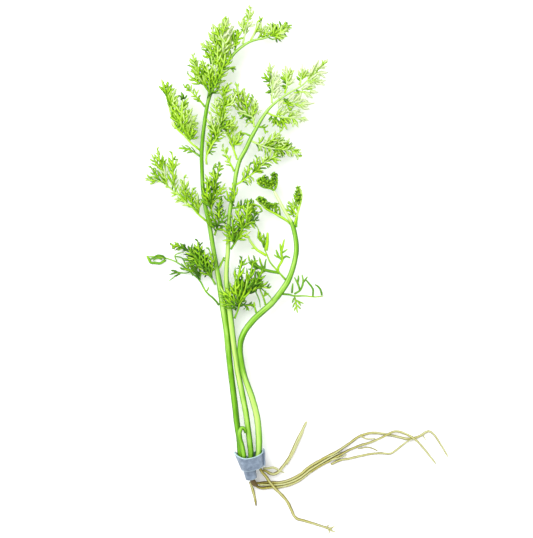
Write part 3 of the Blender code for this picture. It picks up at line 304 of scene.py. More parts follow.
# Blades. "rib" runs from the stalk to the tip, as x, y, z. "lobes" fork off it: the rib
# point they leave from, their own points, and any lobes of their own. A blade with no
# lobes here is made of the strands and fingers further down.
PINNAE_A = (
    {"rib": ((-16.2, 81.2, 5.4), (-18, 83.5, 5.2), (-22, 87, 4.8), (-25, 92.5, 4),
             (-27.5, 95, 3.3), (-32.5, 99, 2.2), (-37, 102, 1.4), (-42.5, 104, 0.8),
             (-51.5, 105, 0.4))},
    {
        "rib": ((-17.8, 91.6, 6), (-19, 93.7, 6.3), (-21.5, 97, 7), (-25, 101, 7.6),
                (-27.5, 104.5, 7.6), (-30, 107, 7.2), (-33, 109, 6.4), (-40, 110.5, 4.5)),
        "lobes": ((1, ((-18.8, 99.5, 9), (-20.4, 108.8, 10.5))),
                  (2, ((-22.5, 103, 10), (-23, 108.2, 11.5))),
                  (3, ((-25.3, 107.5, 10), (-26, 113, 11))),
                  (3, ((-30.5, 102.6, 6), (-33.6, 104, 5.2))),
                  (6, ((-35, 111.8, 6.6),))),
    },
    {
        "rib": ((-17.4, 116.4, 6.4), (-16.5, 119, 7), (-15.5, 122, 7.8), (-15.5, 127, 9),
                (-14.8, 133, 10)),
        "lobes": ((1, ((-12.9, 117.6, 7.4),)), (2, ((-18.2, 126.5, 9),)),
                  (3, ((-13.2, 129.5, 9.2),))),
    },
    {
        "rib": ((-22.7, 123.2, 6.4), (-26, 126, 6.2), (-28.5, 129, 6), (-31.5, 131.5, 5.5),
                (-35, 135, 4.8), (-39, 138, 4), (-42.5, 141, 3), (-46, 143, 1.8),
                (-52.5, 143.5, 0.4)),
        "lobes": ((1, ((-26, 132, 7.2), (-26.2, 137, 8))),
                  (2, ((-29.4, 134, 7), (-28.6, 139.5, 8))),
                  (3, ((-33, 138, 7), (-33, 144.5, 8)),
                   ((0, ((-30.4, 143, 7.6),)), (0, ((-35.4, 143, 7.6),)))),
                  (3, ((-38.5, 133.6, 3.6),)),
                  (5, ((-38.5, 147, 7), (-39, 158, 9)),
                   ((0, ((-35.6, 154, 8),)), (0, ((-41, 153, 8),)))),
                  (6, ((-44, 148.5, 5), (-46.5, 159.5, 7)),
                   ((0, ((-43.4, 155, 6.5),)), (0, ((-49.5, 156.5, 6),)))),
                  (7, ((-50, 150, 3.6),))),
    },
    {
        "rib": ((-19.4, 126.4, 7), (-19.2, 130.5, 8.6), (-18.2, 135.5, 10),
                (-17, 141, 11), (-16, 147, 12), (-14.6, 151.5, 12.5)),
        "lobes": ((1, ((-21.4, 135.5, 11), (-21.4, 144, 12.5))),
                  (2, ((-13.8, 139.5, 11.2),)), (3, ((-18.7, 149, 12.5),)),
                  (4, ((-13.4, 149, 12.2),))),
    },
    {"rib": ((-25.6, 158.4, 8.4), (-30, 162, 8.8), (-33, 165.5, 9), (-36.5, 168.5, 9),
             (-39, 174, 8.5), (-40.5, 179.5, 8), (-41.5, 184, 7.5), (-43, 188, 7),
             (-44.5, 193.5, 6.5))},
    {"rib": ((-25.7, 155.4, 7.6), (-30, 158, 6.4), (-36, 159, 5))},
    {
        "rib": ((-21.7, 151.8, 8.5), (-21.9, 154.5, 9), (-19.5, 159.5, 10.5),
                (-17, 163.5, 11.6), (-15, 167.5, 12.2), (-14, 174, 12.6), (-13, 179, 13),
                (-13.5, 184.5, 13), (-13, 189.5, 13)),
        "lobes": ((3, ((-18.8, 170, 13.5), (-19.5, 177, 15))),
                  (4, ((-10, 170.5, 14), (-7, 173.8, 15))),
                  (5, ((-17, 178, 14), (-17.6, 184, 15))),
                  (6, ((-9, 181, 16), (-6, 187, 17.5)), ((0, ((-5.4, 181.4, 17),)),)),
                  (7, ((-10, 190.5, 15),))),
    },
    {
        "rib": ((-23.2, 180.4, 9.8), (-25, 182.6, 11), (-27, 184.6, 12.4),
                (-29.5, 187, 13.6), (-33, 190, 14.6)),
        "lobes": ((1, ((-28.6, 183.4, 14.4),)), (2, ((-25.4, 188, 13.4),)),
                  (3, ((-29, 190.6, 14.2),))),
    },
    {
        "rib": ((-21, 187.8, 9.8), (-23, 190.5, 10.2), (-25, 194, 10.6), (-26.5, 199, 11),
                (-28.5, 205.5, 11.5)),
        "lobes": ((1, ((-27.5, 192.6, 10.4), (-31.5, 196, 10.6))),
                  (2, ((-30, 200, 10.6),)),
                  (2, ((-22.8, 198, 12), (-23.6, 203.4, 13))),
                  (3, ((-30.4, 204, 11.2),))),
    },
    {
        "rib": ((-19.2, 191.9, 10.8), (-18.4, 195.5, 11.6), (-19, 203, 12.6),
                (-20.5, 208, 13.2), (-25, 211, 13.4)),
        "lobes": ((1, ((-15.8, 201, 13.6),)), (2, ((-22.6, 207.4, 13),)),
                  (3, ((-21.6, 212, 13.6),))),
    },
    {
        "rib": ((-14.9, 199.2, 10.8), (-15, 203, 12), (-13.6, 208, 13.4),
                (-14, 215.5, 14.6), (-14, 223, 15.4)),
        "lobes": ((1, ((-17.6, 211, 14), (-18.5, 221, 15)), ((0, ((-20, 216, 14.4),)),)),
                  (3, ((-10.5, 224.5, 15.6),))),
    },
    {
        "rib": ((-11, 205.1, 10.7), (-10.6, 209.5, 11.2), (-9.4, 214, 11.8),
                (-9, 220.5, 12.2)),
        "lobes": ((1, ((-12.2, 215, 12),)), (2, ((-7, 218, 12),))),
    },
    {
        "rib": ((-7.4, 208.6, 10.3), (-6, 213.4, 9.8), (-5.6, 218, 9.6)),
        "lobes": ((1, ((-8, 215, 9.8),)),),
    },
    {
        "rib": ((-3.4, 211.7, 10.6), (-2.6, 215.5, 11), (-2, 218.5, 11.6),
                (-0.5, 223, 12), (0, 229, 12.4)),
        "lobes": ((1, ((-3.6, 224, 12.4),)), (3, ((1.8, 226.6, 12),)),
                  (3, ((-2, 227, 12.4),)), (2, ((1.8, 223, 11.6),))),
    },
    {
        "rib": ((0.9, 213.6, 10.3), (2.3, 216.5, 10.6), (4.4, 222, 11)),
        "lobes": ((1, ((5.2, 218, 10.2), (5.6, 222.6, 10))),),
    },
    {
        "rib": ((11.5, 215.4, 9), (14, 216.6, 8.6), (17, 218.2, 8.3), (19.2, 220, 8)),
        "lobes": ((1, ((11, 218.6, 8.8), (10, 221.6, 8.8))), (1, ((13.8, 220.6, 8.6),)),
                  (2, ((17, 221.6, 8.2),)), (2, ((20, 218.4, 8),)),
                  (1, ((16.5, 213.4, 8.2),))),
    },
    {
        "rib": ((-12.3, 197.2, 10.2), (-9.5, 199.1, 9.6), (-7, 199.5, 9)),
        "lobes": ((1, ((-8.4, 196.8, 9),)),),
    },
)
PINNAE_B = (
    {
        "rib": ((-6.7, 154, 9.6), (-8.5, 159, 10), (-10, 163, 10.2), (-12, 167, 10.2),
                (-14, 175.5, 9.6)),
        "lobes": ((1, ((-6, 162.6, 11.6), (-5.2, 167.4, 12.4))),
                  (2, ((-8.2, 170, 11), (-8.6, 175, 11.6)))),
    },
    {
        "rib": ((-8.3, 148.2, 9.2), (-10, 151.5, 9.4), (-12, 155.5, 9.4), (-14, 160.5, 9)),
        "lobes": ((1, ((-12.8, 152.6, 9),)), (2, ((-10.8, 159.2, 9),))),
    },
    {
        "rib": ((-7.3, 74.8, 7.9), (-6, 78, 8.6), (-5, 81.5, 9.6), (-2.5, 84.5, 10.6),
                (1, 87.5, 11.5), (5, 89.5, 12), (10, 88.6, 12.5)),
        "lobes": ((2, ((-5.6, 90.5, 12), (-4.6, 99, 14.5), (-3.8, 105.5, 16)),
                   ((0, ((-8.2, 95.5, 12.6),)), (1, ((-1.6, 104, 15),)))),
                  (3, ((-0.6, 93, 13.5), (1, 99, 15), (2.5, 104, 15.5)),
                   ((0, ((-2, 97.6, 14),)),)),
                  (4, ((4.4, 94.4, 13.5), (6.4, 99.4, 14.5))),
                  (5, ((8.8, 92, 13),))),
    },
    {
        "rib": ((-8.9, 84.6, 7.2), (-6, 82.6, 6.8), (-2.5, 80.4, 6.4), (3, 80.4, 6)),
        "lobes": ((1, ((-4.4, 85.6, 6),)), (2, ((-0.5, 77.4, 5.6),))),
    },
    {
        "rib": ((-9, 109.3, 9), (-8, 110.8, 9.4), (-6, 114, 10), (-4.5, 117.5, 11),
                (-2.5, 120, 11.5), (0, 121.8, 11.5), (3, 122, 11)),
        "lobes": ((1, ((-8.6, 117, 11.4), (-9, 124.5, 12.6))),
                  (3, ((-5.4, 123.5, 13), (-5, 130, 14)), ((0, ((-7.4, 127.6, 13.4),)),)),
                  (4, ((-1.6, 126, 13), (-0.5, 133, 14)), ((0, ((1.6, 130, 13),)),)),
                  (5, ((2.8, 118.4, 10.6),))),
    },
    {"rib": ((-13.3, 103.4, 9), (-14.4, 101, 8.8), (-15.2, 98.8, 8.6))},
    {
        "rib": ((-6, 141.2, 9.6), (-3.5, 142.6, 9.8), (-1, 144.5, 10), (2.5, 147, 10.4),
                (6, 150.5, 10.8), (10, 153.5, 11), (14, 155.5, 11)),
        "lobes": ((1, ((-3.2, 148, 11.6),)), (2, ((0.2, 141.2, 9.6),)),
                  (2, ((-0.2, 151, 12),)), (3, ((3.4, 154.6, 12.2),)),
                  (3, ((6.4, 146.4, 10.2),)), (4, ((7.6, 156.6, 11.8),)),
                  (4, ((10.2, 149.8, 10.4),)), (5, ((15.6, 152.8, 10.6),))),
    },
    {
        "rib": ((-8.2, 129, 9.3), (-5.6, 129.3, 9.5), (-1.5, 130.5, 9.5), (4, 130.4, 9.2)),
        "lobes": ((1, ((-5.8, 132.6, 9.8),)), (2, ((-1.5, 134, 9.8),)),
                  (2, ((0.8, 127.2, 9.2), (5.6, 126.8, 8.8)))),
    },
    {
        "rib": ((1.5, 162.1, 9.4), (4, 161, 9.2), (8, 159.5, 8.9), (12.5, 158.5, 8.6),
                (17.5, 158, 8.2), (21.5, 158, 7.8), (24.4, 154.5, 7.4)),
        "lobes": ((1, ((6.5, 165, 9.8),)), (1, ((5.6, 157.2, 8.4),)),
                  (2, ((11, 163, 9.6), (15.5, 167.3, 10))),
                  (3, ((15.5, 162, 9), (19.8, 162.4, 8.8))), (3, ((14.2, 154.6, 8),)),
                  (4, ((20, 154.4, 7.6),)), (5, ((24.6, 158.4, 7.4),))),
    },
    {
        "rib": ((-0.7, 165.4, 9.6), (-2.6, 166.2, 9.4), (-6, 166.8, 8.8)),
        "lobes": ((1, ((-4.4, 164.4, 8.8),)),),
    },
    {
        "rib": ((2, 170.4, 9.8), (1.6, 172.4, 10.1), (1.2, 174.4, 10.5), (-1.4, 175.4, 11),
                (-5, 177, 11.5), (-7.4, 180.4, 12)),
        "lobes": ((1, ((-1.2, 171.4, 10.2), (-2.8, 169, 10.2))),
                  (2, ((2.4, 179.5, 12), (1, 184.6, 12.6)), ((0, ((4.4, 181.4, 11.8),)),)),
                  (3, ((-2.4, 183, 12.6), (-3.4, 189, 13.2))),
                  (4, ((-6, 186, 13), (-7.4, 192, 13.6)))),
    },
    {
        "rib": ((5.4, 169.4, 9.5), (7, 168.9, 9.3), (7.8, 166, 9)),
        "lobes": ((1, ((9.2, 170.6, 9.2),)),),
    },
    {"rib": ((9.7, 176, 9.2), (11.7, 175.1, 9), (15, 174.5, 8.6), (20, 174, 8.2),
             (25, 173.5, 7.8), (29, 173, 7.4))},
    {"rib": ((10.9, 182.4, 9.5), (10.8, 184.6, 9.7), (11, 188, 10), (10, 193, 10.2),
             (9.5, 202, 10.5))},
    {"rib": ((15.6, 181.5, 9.2), (18.5, 181.2, 9.2), (22.5, 181, 9.2), (27.5, 180.4, 8.9),
             (32.5, 181.5, 8.5))},
    {"rib": ((17.6, 187.3, 9.3), (18.4, 190.5, 9.7), (18, 195.5, 9.9), (17.5, 200.5, 10.1))},
    {"rib": ((22.9, 186.5, 9.1), (26.5, 187, 8.9), (29, 186, 8.7), (31.4, 183.9, 8.3))},
    {"rib": ((25, 191.4, 9.1), (25.5, 194, 9.4), (26, 197, 9.6), (26, 201.4, 9.8))},
    {"rib": ((29.9, 191.9, 8.8), (32.5, 192.5, 8.6), (38, 192.7, 8))},
    {"rib": ((31, 197.4, 9), (32.2, 199.8, 9.2), (34.5, 203.2, 9.2))},
)
PINNAE_C = (
    {"rib": ((17.1, 93.9, 7.2), (15, 96.2, 7.4), (12.5, 99, 7.6), (10, 102, 8),
             (8.5, 105.5, 8.2), (7.5, 108, 8.3), (6, 113, 8.4), (3.5, 120, 8.4))},
    {"rib": ((17.4, 85.9, 7.2), (19.6, 85.7, 6.8), (22.5, 85, 6), (27.5, 85, 4.5),
             (32.5, 84.5, 2.5), (37, 85, 0.4))},
    {
        "rib": ((7.5, 81.6, 8.2), (6.6, 84.6, 8.6), (5.2, 88, 8.8), (4.2, 92, 9)),
        "lobes": ((1, ((9.6, 86.4, 8.6),)),),
    },
    {
        "rib": ((2.9, 77.5, 8.8), (2.2, 80, 9), (2, 82.2, 8.8)),
        "lobes": ((1, ((0, 80.8, 9),)),),
    },
    {"rib": ((19.6, 123.6, 8.7), (17.2, 127.8, 9), (14.5, 132, 8.9), (13, 135.5, 9),
             (11.6, 138.2, 9), (9, 141, 9), (6, 142.6, 8.8),
             (3.6, 143, 8.4))},
    {
        "rib": ((18.7, 122.4, 6.6), (14, 125.2, 6.2), (10, 128, 6.2),
                (6.8, 130.8, 6.2), (4.4, 133, 6.2), (2.6, 133.4, 6.2)),
        "lobes": ((1, ((13.2, 130, 6.4),)), (2, ((10, 132.4, 6.4),))),
    },
    {
        "rib": ((23.2, 120.4, 7.6), (23.7, 125.5, 7.8), (24.8, 130.5, 8),
                (25.3, 134.5, 8.2), (24.6, 139.5, 8.4)),
        "lobes": ((1, ((21, 129, 8.2), (19.4, 132.6, 8.6))),
                  (2, ((21.6, 134, 8.6),)), (3, ((21.8, 136.8, 8.4),))),
    },
)


# How each blade looks: its tone from dark (0) to pale (1) and, where small sprigs fill
# it between its lobes, their spacing along its rib in millimetres, how many layers of
# them it has and how far they spread beyond its outline.
LOOK_A = (
    (0.34,), (0.42, 1.8, 3, 0.4), (0.5, 2, 3, 1), (0.62, 2.2, 1, 0.4),
    (0.52, 2, 2, 0.8), (0.62,), (0.4,), (0.66, 2, 2, 0.8),
    (0.56, 2.2, 1, 0.2), (0.6, 2.6, 1, 0.2), (0.66, 2.8, 1, 0.2), (0.74, 2.8, 1, 0.2),
    (0.66, 2.8, 1, 0.2), (0.54, 2.2, 1, 0.6), (0.8, 2, 2, 0.8), (0.72, 2, 2, 0.8),
    (0.66, 1.5, 3, 1.4), (0.4, 2.4, 1, 0.2),
)
LOOK_B = (
    (0.66, 2.1, 1, 1), (0.6, 2.1, 1, 0.6), (0.48, 1.9, 2, 0.8), (0.38, 2.4, 1, 0.3),
    (0.46, 1.9, 2, 0.6), (0.4,), (0.6, 1.7, 2, 1), (0.46, 2, 2, 0.8),
    (0.76, 1.6, 3, 1.5), (0.46, 2.4, 1, 0.4), (0.7, 2.2, 1, 0.2), (0.38, 2.4, 1, 0.4),
    (0.66,), (0.8,), (0.66,), (0.66,),
    (0.66,), (0.76,), (0.8,), (0.9,),
)
LOOK_C = (
    (0.46,), (0.36,), (0.38, 2.4, 1, 0.3), (0.38, 2.4, 1, 0.3),
    (0.42,), (0.46, 2.2, 1, 0), (0.48, 2.4, 1, 0),
)

# Long fingers set out one by one: the finger's radius, its tone and its points. A finger
# with no radius is a forked sprig.
STRANDS = {
    "pinna_a_1": (
        (0.5, 0.2, ((-42.5, 103.5, 0.9), (-43.9, 105, 0.9), (-46.6, 105.3, 0.8),
                      (-48.4, 104.2, 0.7), (-50.6, 103.3, 0.6))),
        (0.66, 0.3, ((-42.5, 103.2, 0.9), (-43.4, 102.4, 0.9), (-45.4, 101.3, 0.8),
                      (-47.8, 101.6, 0.7), (-49.9, 101.7, 0.6), (-50.9, 103.6, 0.6),
                      (-52, 105.2, 0.5))),
        (0.4, 0.24, ((-44.2, 103.4, 0.9), (-46.4, 104, 0.9), (-48.8, 102.8, 0.8))),
        (0.34, 0.26, ((-29, 97.8, 2.8), (-31.4, 96.6, 2.2), (-34.4, 96.5, 1.5),
                      (-37, 96.6, 1.1))),
        (0, 0.26, ((-33, 96.4, 1.6), (-36.8, 96.7, 1.1), (-41, 95.6, 0.6))),
        (0.3, 0.34, ((-37.2, 95.4, 0.8), (-39, 93.9, 0.6), (-40.7, 92.6, 0.5))),
        (0.32, 0.36, ((-36.8, 102.3, 1.5), (-37.7, 105.2, 2.2), (-35.7, 106.4, 3),
                      (-33, 106.8, 3.6))),
        (0.32, 0.26, ((-37.6, 104.8, 2.2), (-34.4, 104.2, 2.6), (-33, 102.2, 2.6),
                      (-32, 99.6, 2.4))),
        (0, 0.36, ((-25.2, 92.6, 3.8), (-27.3, 97.8, 4.6), (-30, 101.8, 4.6),
                     (-32.2, 104.2, 4.2))),
        (0, 0.22, ((-25.4, 92.8, 3.9), (-26, 96.6, 4.6), (-28, 99.6, 4.8),
                     (-29.6, 103.4, 4.8))),
        (0, 0.5, ((-28.5, 95.2, 3.2), (-31, 99, 3.4), (-33.4, 102.4, 3.2))),
        (0, 0.3, ((-30.6, 97.6, 2.6), (-33.2, 99.6, 2.8), (-34.6, 101.6, 2.8))),
        (0.3, 0.24, ((-25, 93, 3.8), (-24.6, 95.6, 4.6), (-22.5, 98.2, 5.6))),
        (0.35, 0.36, ((-21.6, 87.4, 4.8), (-20.9, 88.8, 4.9), (-20.8, 89.6, 4.9))),
    ),
    "pinna_a_7": (
        (0, 0.4, ((-26, 155.8, 7.5), (-30.4, 158.6, 6.6), (-36, 159.4, 5.2))),
    ),
    "pinna_a_10": (
        (0, 0.5, ((-21.2, 183.6, 11.2), (-20.2, 188, 12.2), (-20.6, 193, 12.8))),
        (0, 0.44, ((-20.6, 184.6, 11.4), (-18, 188.6, 12.4), (-16, 193.4, 12.8))),
        (0, 0.36, ((-19.6, 185.6, 11.4), (-16, 187.4, 11.8), (-12.6, 188.2, 11.6))),
    ),
    "pinna_a_11": (
        (0, 0.56, ((-19, 188.6, 11.6), (-17, 193.6, 12.8), (-17, 199, 13.6))),
        (0, 0.46, ((-18.2, 190.2, 11.8), (-14.8, 194.6, 12.8), (-13.4, 199.4, 13.4))),
        (0, 0.6, ((-19.6, 189.6, 11.8), (-20.4, 195, 13), (-21.6, 200.6, 13.8))),
    ),
    "pinna_a_12": (
        (0, 0.58, ((-15.4, 195.8, 12), (-13, 200.6, 13.2), (-12.2, 206.6, 14.2))),
        (0, 0.5, ((-14.6, 197, 12), (-11.2, 201.4, 12.8), (-9.4, 206.4, 13.4))),
        (0, 0.66, ((-15.6, 198.4, 12.4), (-16.2, 204.4, 13.6), (-15.8, 211, 14.6))),
    ),
    "pinna_a_3": (
        (0, 0.44, ((-17, 117.4, 8), (-19.6, 121, 8.6), (-20.6, 126, 9.4))),
        (0, 0.36, ((-16.6, 118.8, 8), (-18.6, 124, 9.2), (-21.4, 129, 10))),
        (0, 0.3, ((-16.4, 119.6, 8.2), (-13.6, 123.4, 9.4), (-12, 128.6, 10.4))),
    ),
    "pinna_a_5": (
        (0, 0.46, ((-19.6, 128.6, 8.8), (-21.8, 133, 9.8), (-23.4, 138.6, 10.4))),
        (0, 0.5, ((-18.6, 133, 10), (-15, 136.6, 10.8), (-12.2, 141.6, 11.6))),
        (0, 0.58, ((-17.6, 137.4, 10.8), (-20.4, 142, 11.8), (-22.4, 146, 12.2))),
    ),
    "pinna_b_3": (
        (0, 0.4, ((-6.6, 78.4, 9.3), (-9.6, 81.6, 10.2), (-13.2, 84.4, 10.2))),
        (0, 0.52, ((-6.4, 79.4, 9.4), (-9.8, 84.4, 10.8), (-12.4, 89.6, 11))),
        (0, 0.48, ((-6.2, 80.6, 9.6), (-8.6, 86.4, 11), (-10.2, 92.4, 11.4))),
        (0, 0.34, ((-6.2, 80, 9.6), (-11.4, 83.4, 10.4), (-15.8, 87.6, 9.8))),
        (0, 0.56, ((-5.8, 81.4, 10), (-10, 84.6, 11), (-13.8, 87.4, 10.6),
                     (-15.2, 91.2, 10))),
        (0, 0.38, ((-6.8, 77.8, 9.2), (-11.4, 80.6, 10), (-15.8, 82.4, 9.2))),
        (0, 0.5, ((-5.6, 81.6, 10), (-7.2, 87.8, 11.6), (-7.2, 94.4, 12.6))),
        (0, 0.6, ((-5.4, 82, 10.2), (-2.4, 88, 12), (-1.4, 94.4, 13.4))),
        (0.32, 0.24, ((2.4, 88.2, 11.6), (4.6, 83, 9.6), (5.2, 79, 8.8))),
        (0.32, 0.28, ((5, 89.4, 12), (9.4, 85.4, 10.4), (11.4, 82.6, 9.4))),
    ),
    "pinna_b_5": (
        (0, 0.56, ((-7.4, 111.6, 10.6), (-10.6, 113, 11.4), (-14, 112.6, 11))),
        (0, 0.6, ((-7.2, 112.6, 10.8), (-4, 114.8, 12), (0.6, 117.4, 12.4))),
        (0, 0.48, ((-7.6, 112.6, 10.8), (-11, 116.6, 11.8), (-12.8, 121.6, 12.2))),
    ),
    "pinna_b_8": (
        (0, 0.46, ((-8, 130, 10.4), (-10.6, 133.4, 11.4), (-12, 138.4, 11.8))),
        (0, 0.56, ((-8.2, 131.6, 10.6), (-7.6, 136.6, 11.6), (-9, 142, 12))),
    ),
    "pinna_b_6": (
        (0.3, 0.34, ((-13.4, 103.2, 9), (-11.4, 101.6, 8.9), (-10.6, 99.4, 8.8))),
        (0, 0.3, ((-13.6, 103, 9), (-14.9, 100.4, 8.8), (-15.4, 98.4, 8.6))),
    ),
    "pinna_c_1": (
        (0.62, 0.46, ((14, 97.5, 7.5), (14.3, 99.6, 7.8), (16.2, 103.2, 8.4),
                      (15.6, 106.5, 8.8), (16.4, 110, 9.2), (17.2, 113.6, 9.5))),
        (0.57, 0.46, ((15.7, 107, 8.8), (15.3, 109.2, 9.1), (15, 111.3, 9.3))),
        (0.57, 0.36, ((16, 103.2, 8.4), (14.6, 104.4, 8.6), (13.7, 106.3, 8.8),
                      (13, 108.2, 9))),
        (0.46, 0.38, ((14.6, 104.2, 8.6), (13.3, 104.7, 8.7), (12, 105.7, 8.8))),
        (0.46, 0.34, ((16, 106.6, 8.8), (17.3, 107.4, 9), (18.8, 108.4, 9))),
        (0.54, 0.26, ((16.2, 103.6, 8.5), (18, 104.8, 8.6), (20.2, 104, 8.4))),
        (0.89, 0.5, ((8, 107.8, 8.5), (8.6, 112, 9.2), (8.8, 116.8, 9.6))),
        (0, 0.5, ((6.8, 109.6, 8.6), (5.6, 113.6, 9.2), (5.2, 117.4, 9.4))),
        (0, 0.4, ((6.9, 109.2, 8.6), (7.2, 112.8, 9.4), (6.8, 116.6, 9.6))),
        (0, 0.56, ((6, 112.2, 8.7), (4.2, 115, 9.1), (4.2, 118.6, 9.2))),
        (0.65, 0.6, ((8.2, 105.2, 8.3), (5.6, 106.8, 8.2), (3.2, 108.4, 8),
                      (0.3, 112.2, 7.9), (-1.3, 115.6, 7.8))),
        (0.46, 0.44, ((3.6, 108.2, 8), (2.2, 108.9, 8), (0.6, 108.7, 8))),
        (0.76, 0.26, ((14.8, 96.6, 7.4), (10, 97.4, 7.2), (6, 98.6, 7),
                      (2.5, 100.5, 6.8), (-1, 102, 6.6))),
        (0, 0.44, ((7, 98.8, 7.2), (5.4, 101.4, 8), (4.6, 104.6, 8.2))),
        (0, 0.38, ((4, 99.8, 7), (2.6, 102.4, 7.8), (2.4, 105, 8))),
        (0, 0.48, ((1.4, 101, 6.8), (-0.4, 103, 7.4), (-0.8, 105.6, 7.6))),
        (0.43, 0.2, ((7.4, 99, 7.2), (7.6, 101.4, 7.7), (8.1, 103.6, 7.9))),
        (0, 0.34, ((8.6, 98, 7.2), (5.6, 96.4, 6.8), (2.6, 96.6, 6.6))),
        (0, 0.3, ((5.2, 99, 7), (1.6, 98, 6.8), (-1.4, 98.6, 6.6))),
    ),
    "pinna_c_2": (
        (0.5, 0.24, ((31.5, 84.8, 3.2), (31.5, 88.4, 3.8), (29.4, 91.4, 4.8),
                      (27.6, 93.4, 5.6))),
        (0.5, 0.2, ((36, 85.4, 0.9), (35.8, 86.6, 1.2), (35.2, 88.4, 1.9),
                      (33.8, 90, 2.6), (32.4, 90.7, 3.2))),
        (0.5, 0.3, ((22.2, 86, 6.1), (25.2, 88, 6.2), (26.6, 92, 6.4),
                      (26, 95.8, 7))),
        (0.5, 0.24, ((26.6, 91.8, 6.4), (27.6, 93, 6.2), (28.8, 94.8, 6))),
        (0.5, 0.26, ((25, 87.9, 6.2), (24, 91, 6.6), (22.2, 94.4, 6.8))),
        (0.5, 0.22, ((23.8, 91.6, 6.6), (24.2, 93.4, 6.8), (24.3, 95.3, 7))),
        (0.5, 0.2, ((21, 86.4, 6.4), (21.2, 89, 6.7), (21.4, 91.4, 6.8))),
        (0, 0.52, ((22.2, 85.5, 5.8), (23, 81.6, 5), (23.9, 76, 4.1))),
        (0.42, 0.4, ((23.1, 82.8, 5), (24.8, 82, 4.8), (26.9, 81.2, 4.6))),
    ),
    "pinna_c_5": (
        (0.8, 0.78, ((20.9, 121.4, 8.2), (19.4, 124.2, 8.9), (17.2, 127.8, 9.2), (14.9, 132, 9.2),
                      (13, 135.6, 9.3), (11.7, 138, 9.4))),
        (0.5, 0.42, ((12, 137.6, 9.3), (10.4, 138.6, 9.4), (7, 139.3, 9.3),
                      (4.5, 140.8, 9.2), (3.8, 142.6, 9.2), (4.4, 144, 9.4))),
        (0.5, 0.42, ((11.9, 137.6, 9.3), (13.1, 139.6, 9.5), (13.5, 142.5, 9.7),
                      (13.1, 145.2, 9.8), (12, 146.4, 9.9))),
    ),
    "pinna_c_6": (
        (0.56, 0.56, ((20.4, 120.9, 7.6), (17.5, 123.4, 7.2), (13, 126, 6.8), (8.4, 128.4, 6.7),
                      (6.2, 130.5, 6.9), (4.3, 132.4, 6.9), (3.7, 133.6, 6.9),
                      (4.6, 134.5, 7.1), (6.4, 134.4, 7.2))),
        (0, 0.46, ((9, 128.6, 6.8), (9, 130.6, 7.2), (8.6, 132.6, 7.4))),
        (0, 0.56, ((11.2, 127.4, 6.8), (11, 129.8, 7.4), (10.8, 131.6, 7.6))),
        (0, 0.6, ((13.2, 126.4, 6.9), (13, 129.4, 7.6), (12.8, 132, 7.8))),
        (0, 0.44, ((15.2, 125.2, 7), (14.8, 128, 7.6), (14.4, 130.6, 7.8))),
    ),
    "pinna_c_7": (
        (0.56, 0.6, ((21.6, 119.4, 7.6), (22.7, 122.4, 8), (23.5, 125.5, 8.2), (24.5, 129, 8.4),
                      (25.3, 132, 8.6), (25.8, 135, 8.8), (25.3, 138, 8.8),
                      (24.2, 139.8, 8.8))),
        (0.42, 0.56, ((22.8, 126, 8.1), (20.6, 130.2, 8.5), (18.9, 132.6, 8.6))),
        (0, 0.54, ((22.4, 124.6, 8), (19.4, 128, 8.3), (18.2, 131, 8.5))),
        (0, 0.62, ((23.8, 127.4, 8.2), (21.8, 131, 8.6), (21.2, 134.2, 8.7))),
        (0, 0.42, ((24.6, 130.4, 8.4), (22.8, 133.4, 8.7), (21.6, 136.4, 8.7))),
    ),
}

